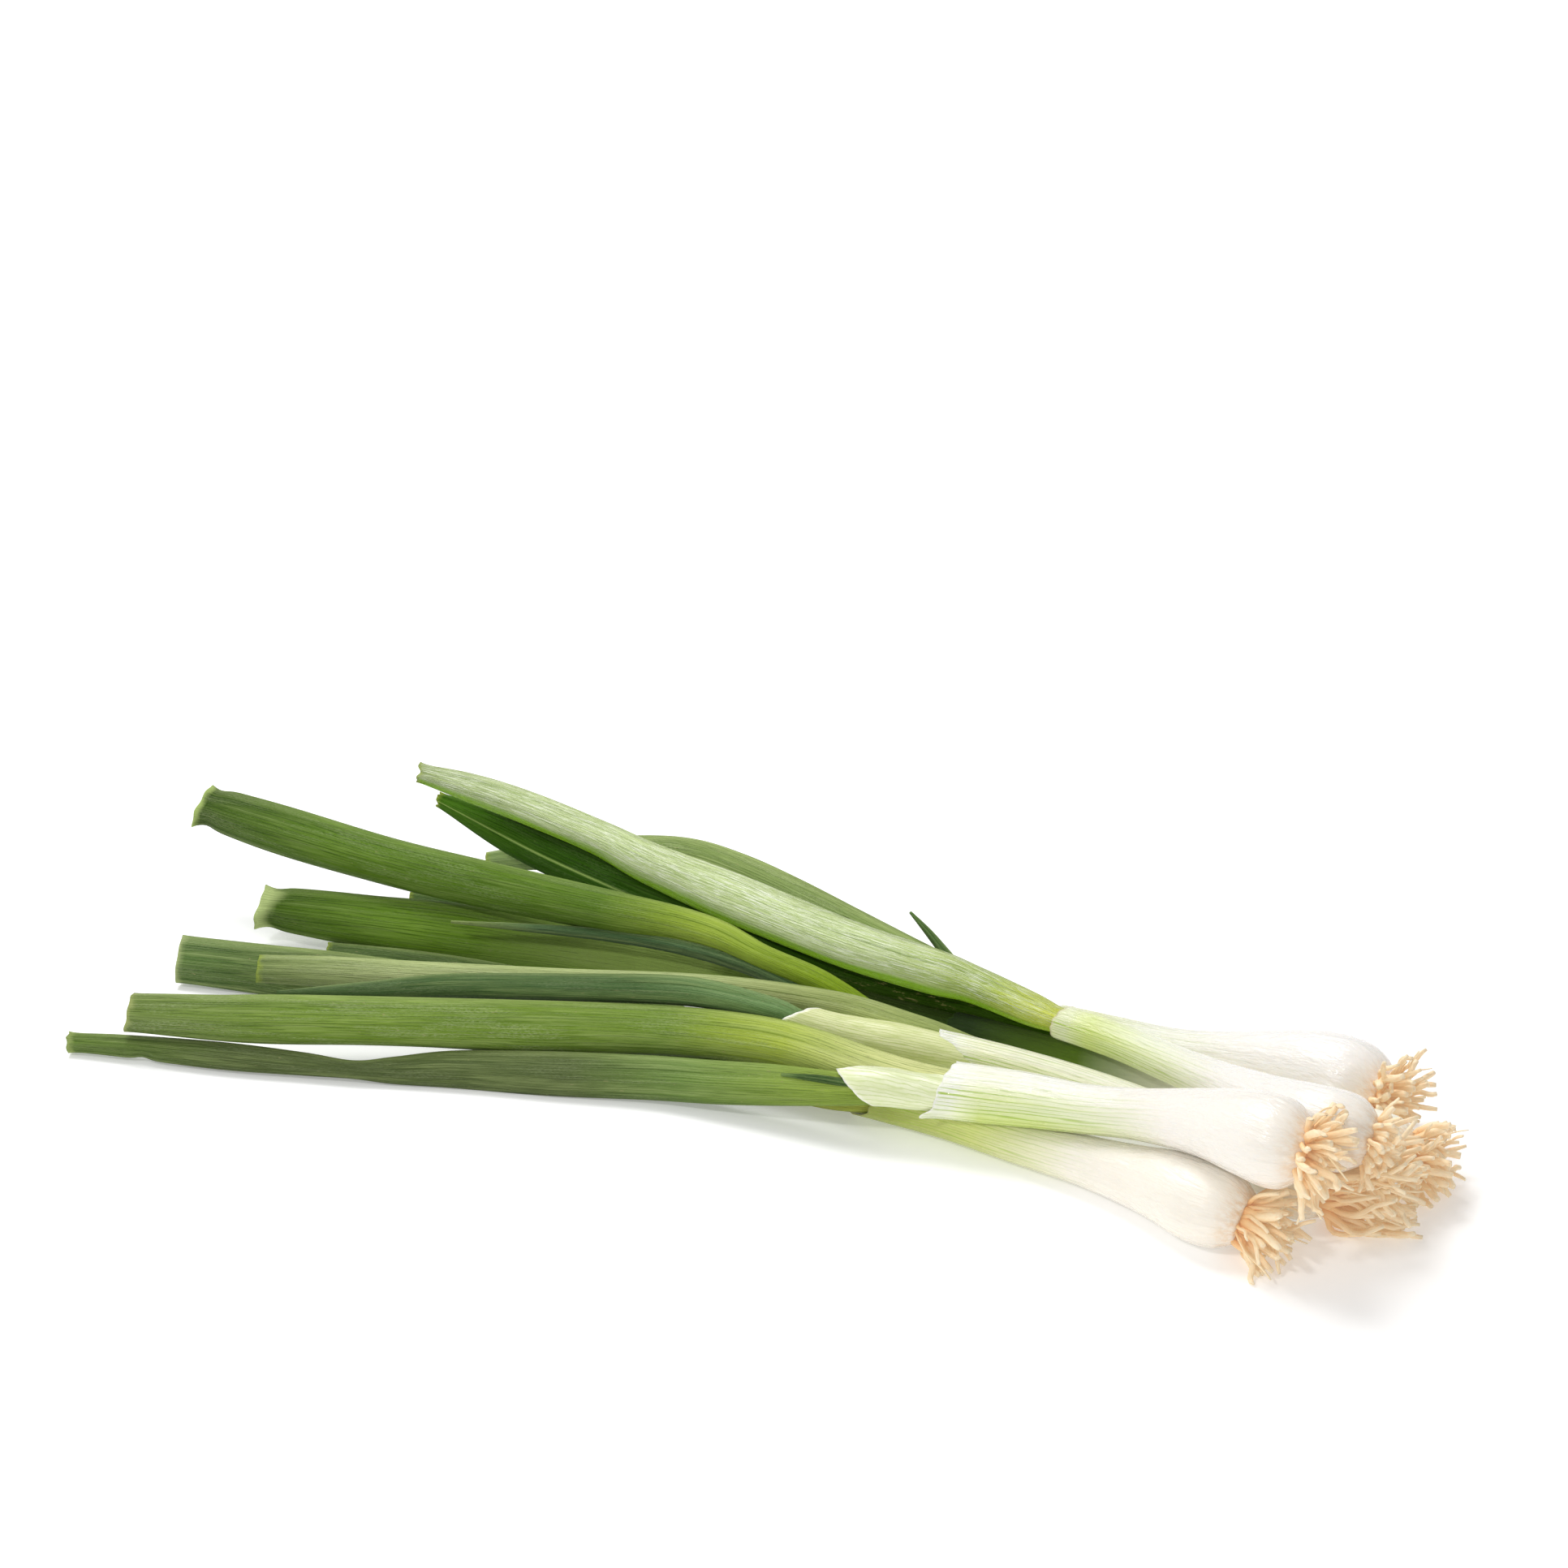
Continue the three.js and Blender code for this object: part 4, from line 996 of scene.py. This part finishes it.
def make_roots(name, seed, material):
    """A tuft of cut roots and hairs on one bulb's plate."""
    random = np.random.default_rng(seed)
    facts = dict(ROOTS[name])
    count = facts.pop("count")
    faces_of_one = tube_faces(ROOT_STEPS + 1, ROOT_SIDES)
    points, faces, around, share = [], [], [], []
    for index in range(count + count // ROOTS_PER_HAIR):
        hair = index >= count
        spot = random.random() if hair else (index + 0.5) / count
        stations = root_stations(name, spot, index * GOLDEN_ANGLE, random, hair, **facts)
        strand = Strand(stations, ROOT_STEPS, lean=random.uniform(0, math.pi))
        run, angle = strand.grid(ROOT_SIDES)
        lumpy = 0.95 + 0.1 * waves(angle, run, LUMP_SEED + index, turns=2, stretch=6)
        rings = with_middles(strand.skin(run, angle, lumpy))
        first = len(rings) * index
        faces += [tuple(first + k for k in face) for face in faces_of_one]
        points.append(rings)
        around.append(with_middles(around_facts(angle, run + 40.0 * index)))
        share.append(with_middles(run / strand.length))
    node = name.replace("shank", "roots")
    reach = np.concatenate(share)
    piece = mesh_piece(node + "_tuft", np.vstack(points), faces, np.vstack(around), reach, 0 * reach)
    add_piece(piece, material, node)


# Floor, light and camera

CAMERA_AZIMUTH = math.radians(20)
CAMERA_ELEVATION = math.radians(30)
CAMERA_DISTANCE = 958.0
LENS = 85.0
SENSOR = 36.0
IMAGE_SIZE = 1932
ANCHOR_PIXEL = (940, 1300)  # where the layout's own zero lies in the photograph
FLOOR_HALF = 6.0  # metres
FLOOR_GLOW = 0.24  # the floor shines a little near the bunch
COVE = (0.5, 3.0)  # and more between these distances in metres, like a lit cove
WORLD_LIGHT = 0.45

# Each light's place and size in metres, and its power in watts
LIGHTS = {
    "key": ((-0.42, 0.35, 1.1), (0.6, 0.6), 10.0),
    "sheen": ((-0.45, -0.95, 1.07), (0.2, 0.1), 4.5),
    "fill": ((0.1, -1.3, 0.35), (0.9, 0.5), 1.7),
}


def aim(thing, heading):
    thing.rotation_mode = "QUATERNION"
    thing.rotation_quaternion = heading.to_track_quat("-Z", "Y")


def place_camera():
    camera = add_object("camera", bpy.data.cameras.new("camera"))
    camera.data.lens = LENS
    camera.data.sensor_width = SENSOR
    flat, rise = math.cos(CAMERA_ELEVATION), math.sin(CAMERA_ELEVATION)
    back = Vector((math.sin(CAMERA_AZIMUTH) * flat, -math.cos(CAMERA_AZIMUTH) * flat, rise))
    right = (-back).cross(Vector((0, 0, 1))).normalized()
    up = right.cross(-back)
    pixel = CAMERA_DISTANCE * SENSOR / LENS / IMAGE_SIZE
    half = IMAGE_SIZE / 2
    target = right * (half - ANCHOR_PIXEL[0]) * pixel + up * (ANCHOR_PIXEL[1] - half) * pixel
    place = back * CAMERA_DISTANCE
    camera.location = (place - Vector(MIDDLE)) * MM
    aim(camera, target - place)
    camera.data.clip_start = 0.01
    camera.data.clip_end = 20
    scene.camera = camera


def area_light(name, place, size, energy):
    data = bpy.data.lights.new(name, "AREA")
    data.shape = "RECTANGLE"
    data.size, data.size_y = size
    data.energy = energy
    lamp = add_object(name, data)
    lamp.location = place
    aim(lamp, -Vector(place))


def floor_material():
    """Plain white that shines more far away from the bunch."""
    g = Graph("floor_white")
    away = g.node("ShaderNodeVectorMath", operation="LENGTH")
    g.feed(away.inputs[0], g.node("ShaderNodeNewGeometry").outputs["Position"])
    g.set(Base_Color=(0.9, 0.9, 0.9, 1), Roughness=0.9, Specular_IOR_Level=0.0, Emission_Color=(1, 1, 1, 1),
          Emission_Strength=g.spread(away.outputs["Value"], *COVE, FLOOR_GLOW, 1.0))
    return g.material


def make_stage():
    mesh = bpy.data.meshes.new("floor")
    corners = [(x * FLOOR_HALF, y * FLOOR_HALF, 0) for x, y in ((-1, -1), (1, -1), (1, 1), (-1, 1))]
    mesh.from_pydata(corners, [], [(0, 1, 2, 3)])
    mesh.materials.append(floor_material())
    add_object("floor", mesh)
    world = bpy.data.worlds.new("studio")
    world.use_nodes = True
    backdrop = world.node_tree.nodes["Background"]
    backdrop.inputs["Color"].default_value = (1, 1, 1, 1)
    backdrop.inputs["Strength"].default_value = WORLD_LIGHT
    scene.world = world
    for name, facts in LIGHTS.items():
        area_light(name, *facts)


def make_plants():
    for number, leaf in enumerate(LEAVES):
        if leaf in YOUNG:
            make_young_leaf(leaf)
        else:
            make_leaf(leaf, number)
    for shank in SHANKS:
        make_shank(shank)
    make_sheaths()
    root_skin = root_material()
    for number, shank in enumerate(SHANKS):
        make_roots(shank, ROOT_SEED + number, root_skin)


make_plants()
scene.view_settings.view_transform = "Standard"
place_camera()
make_stage()
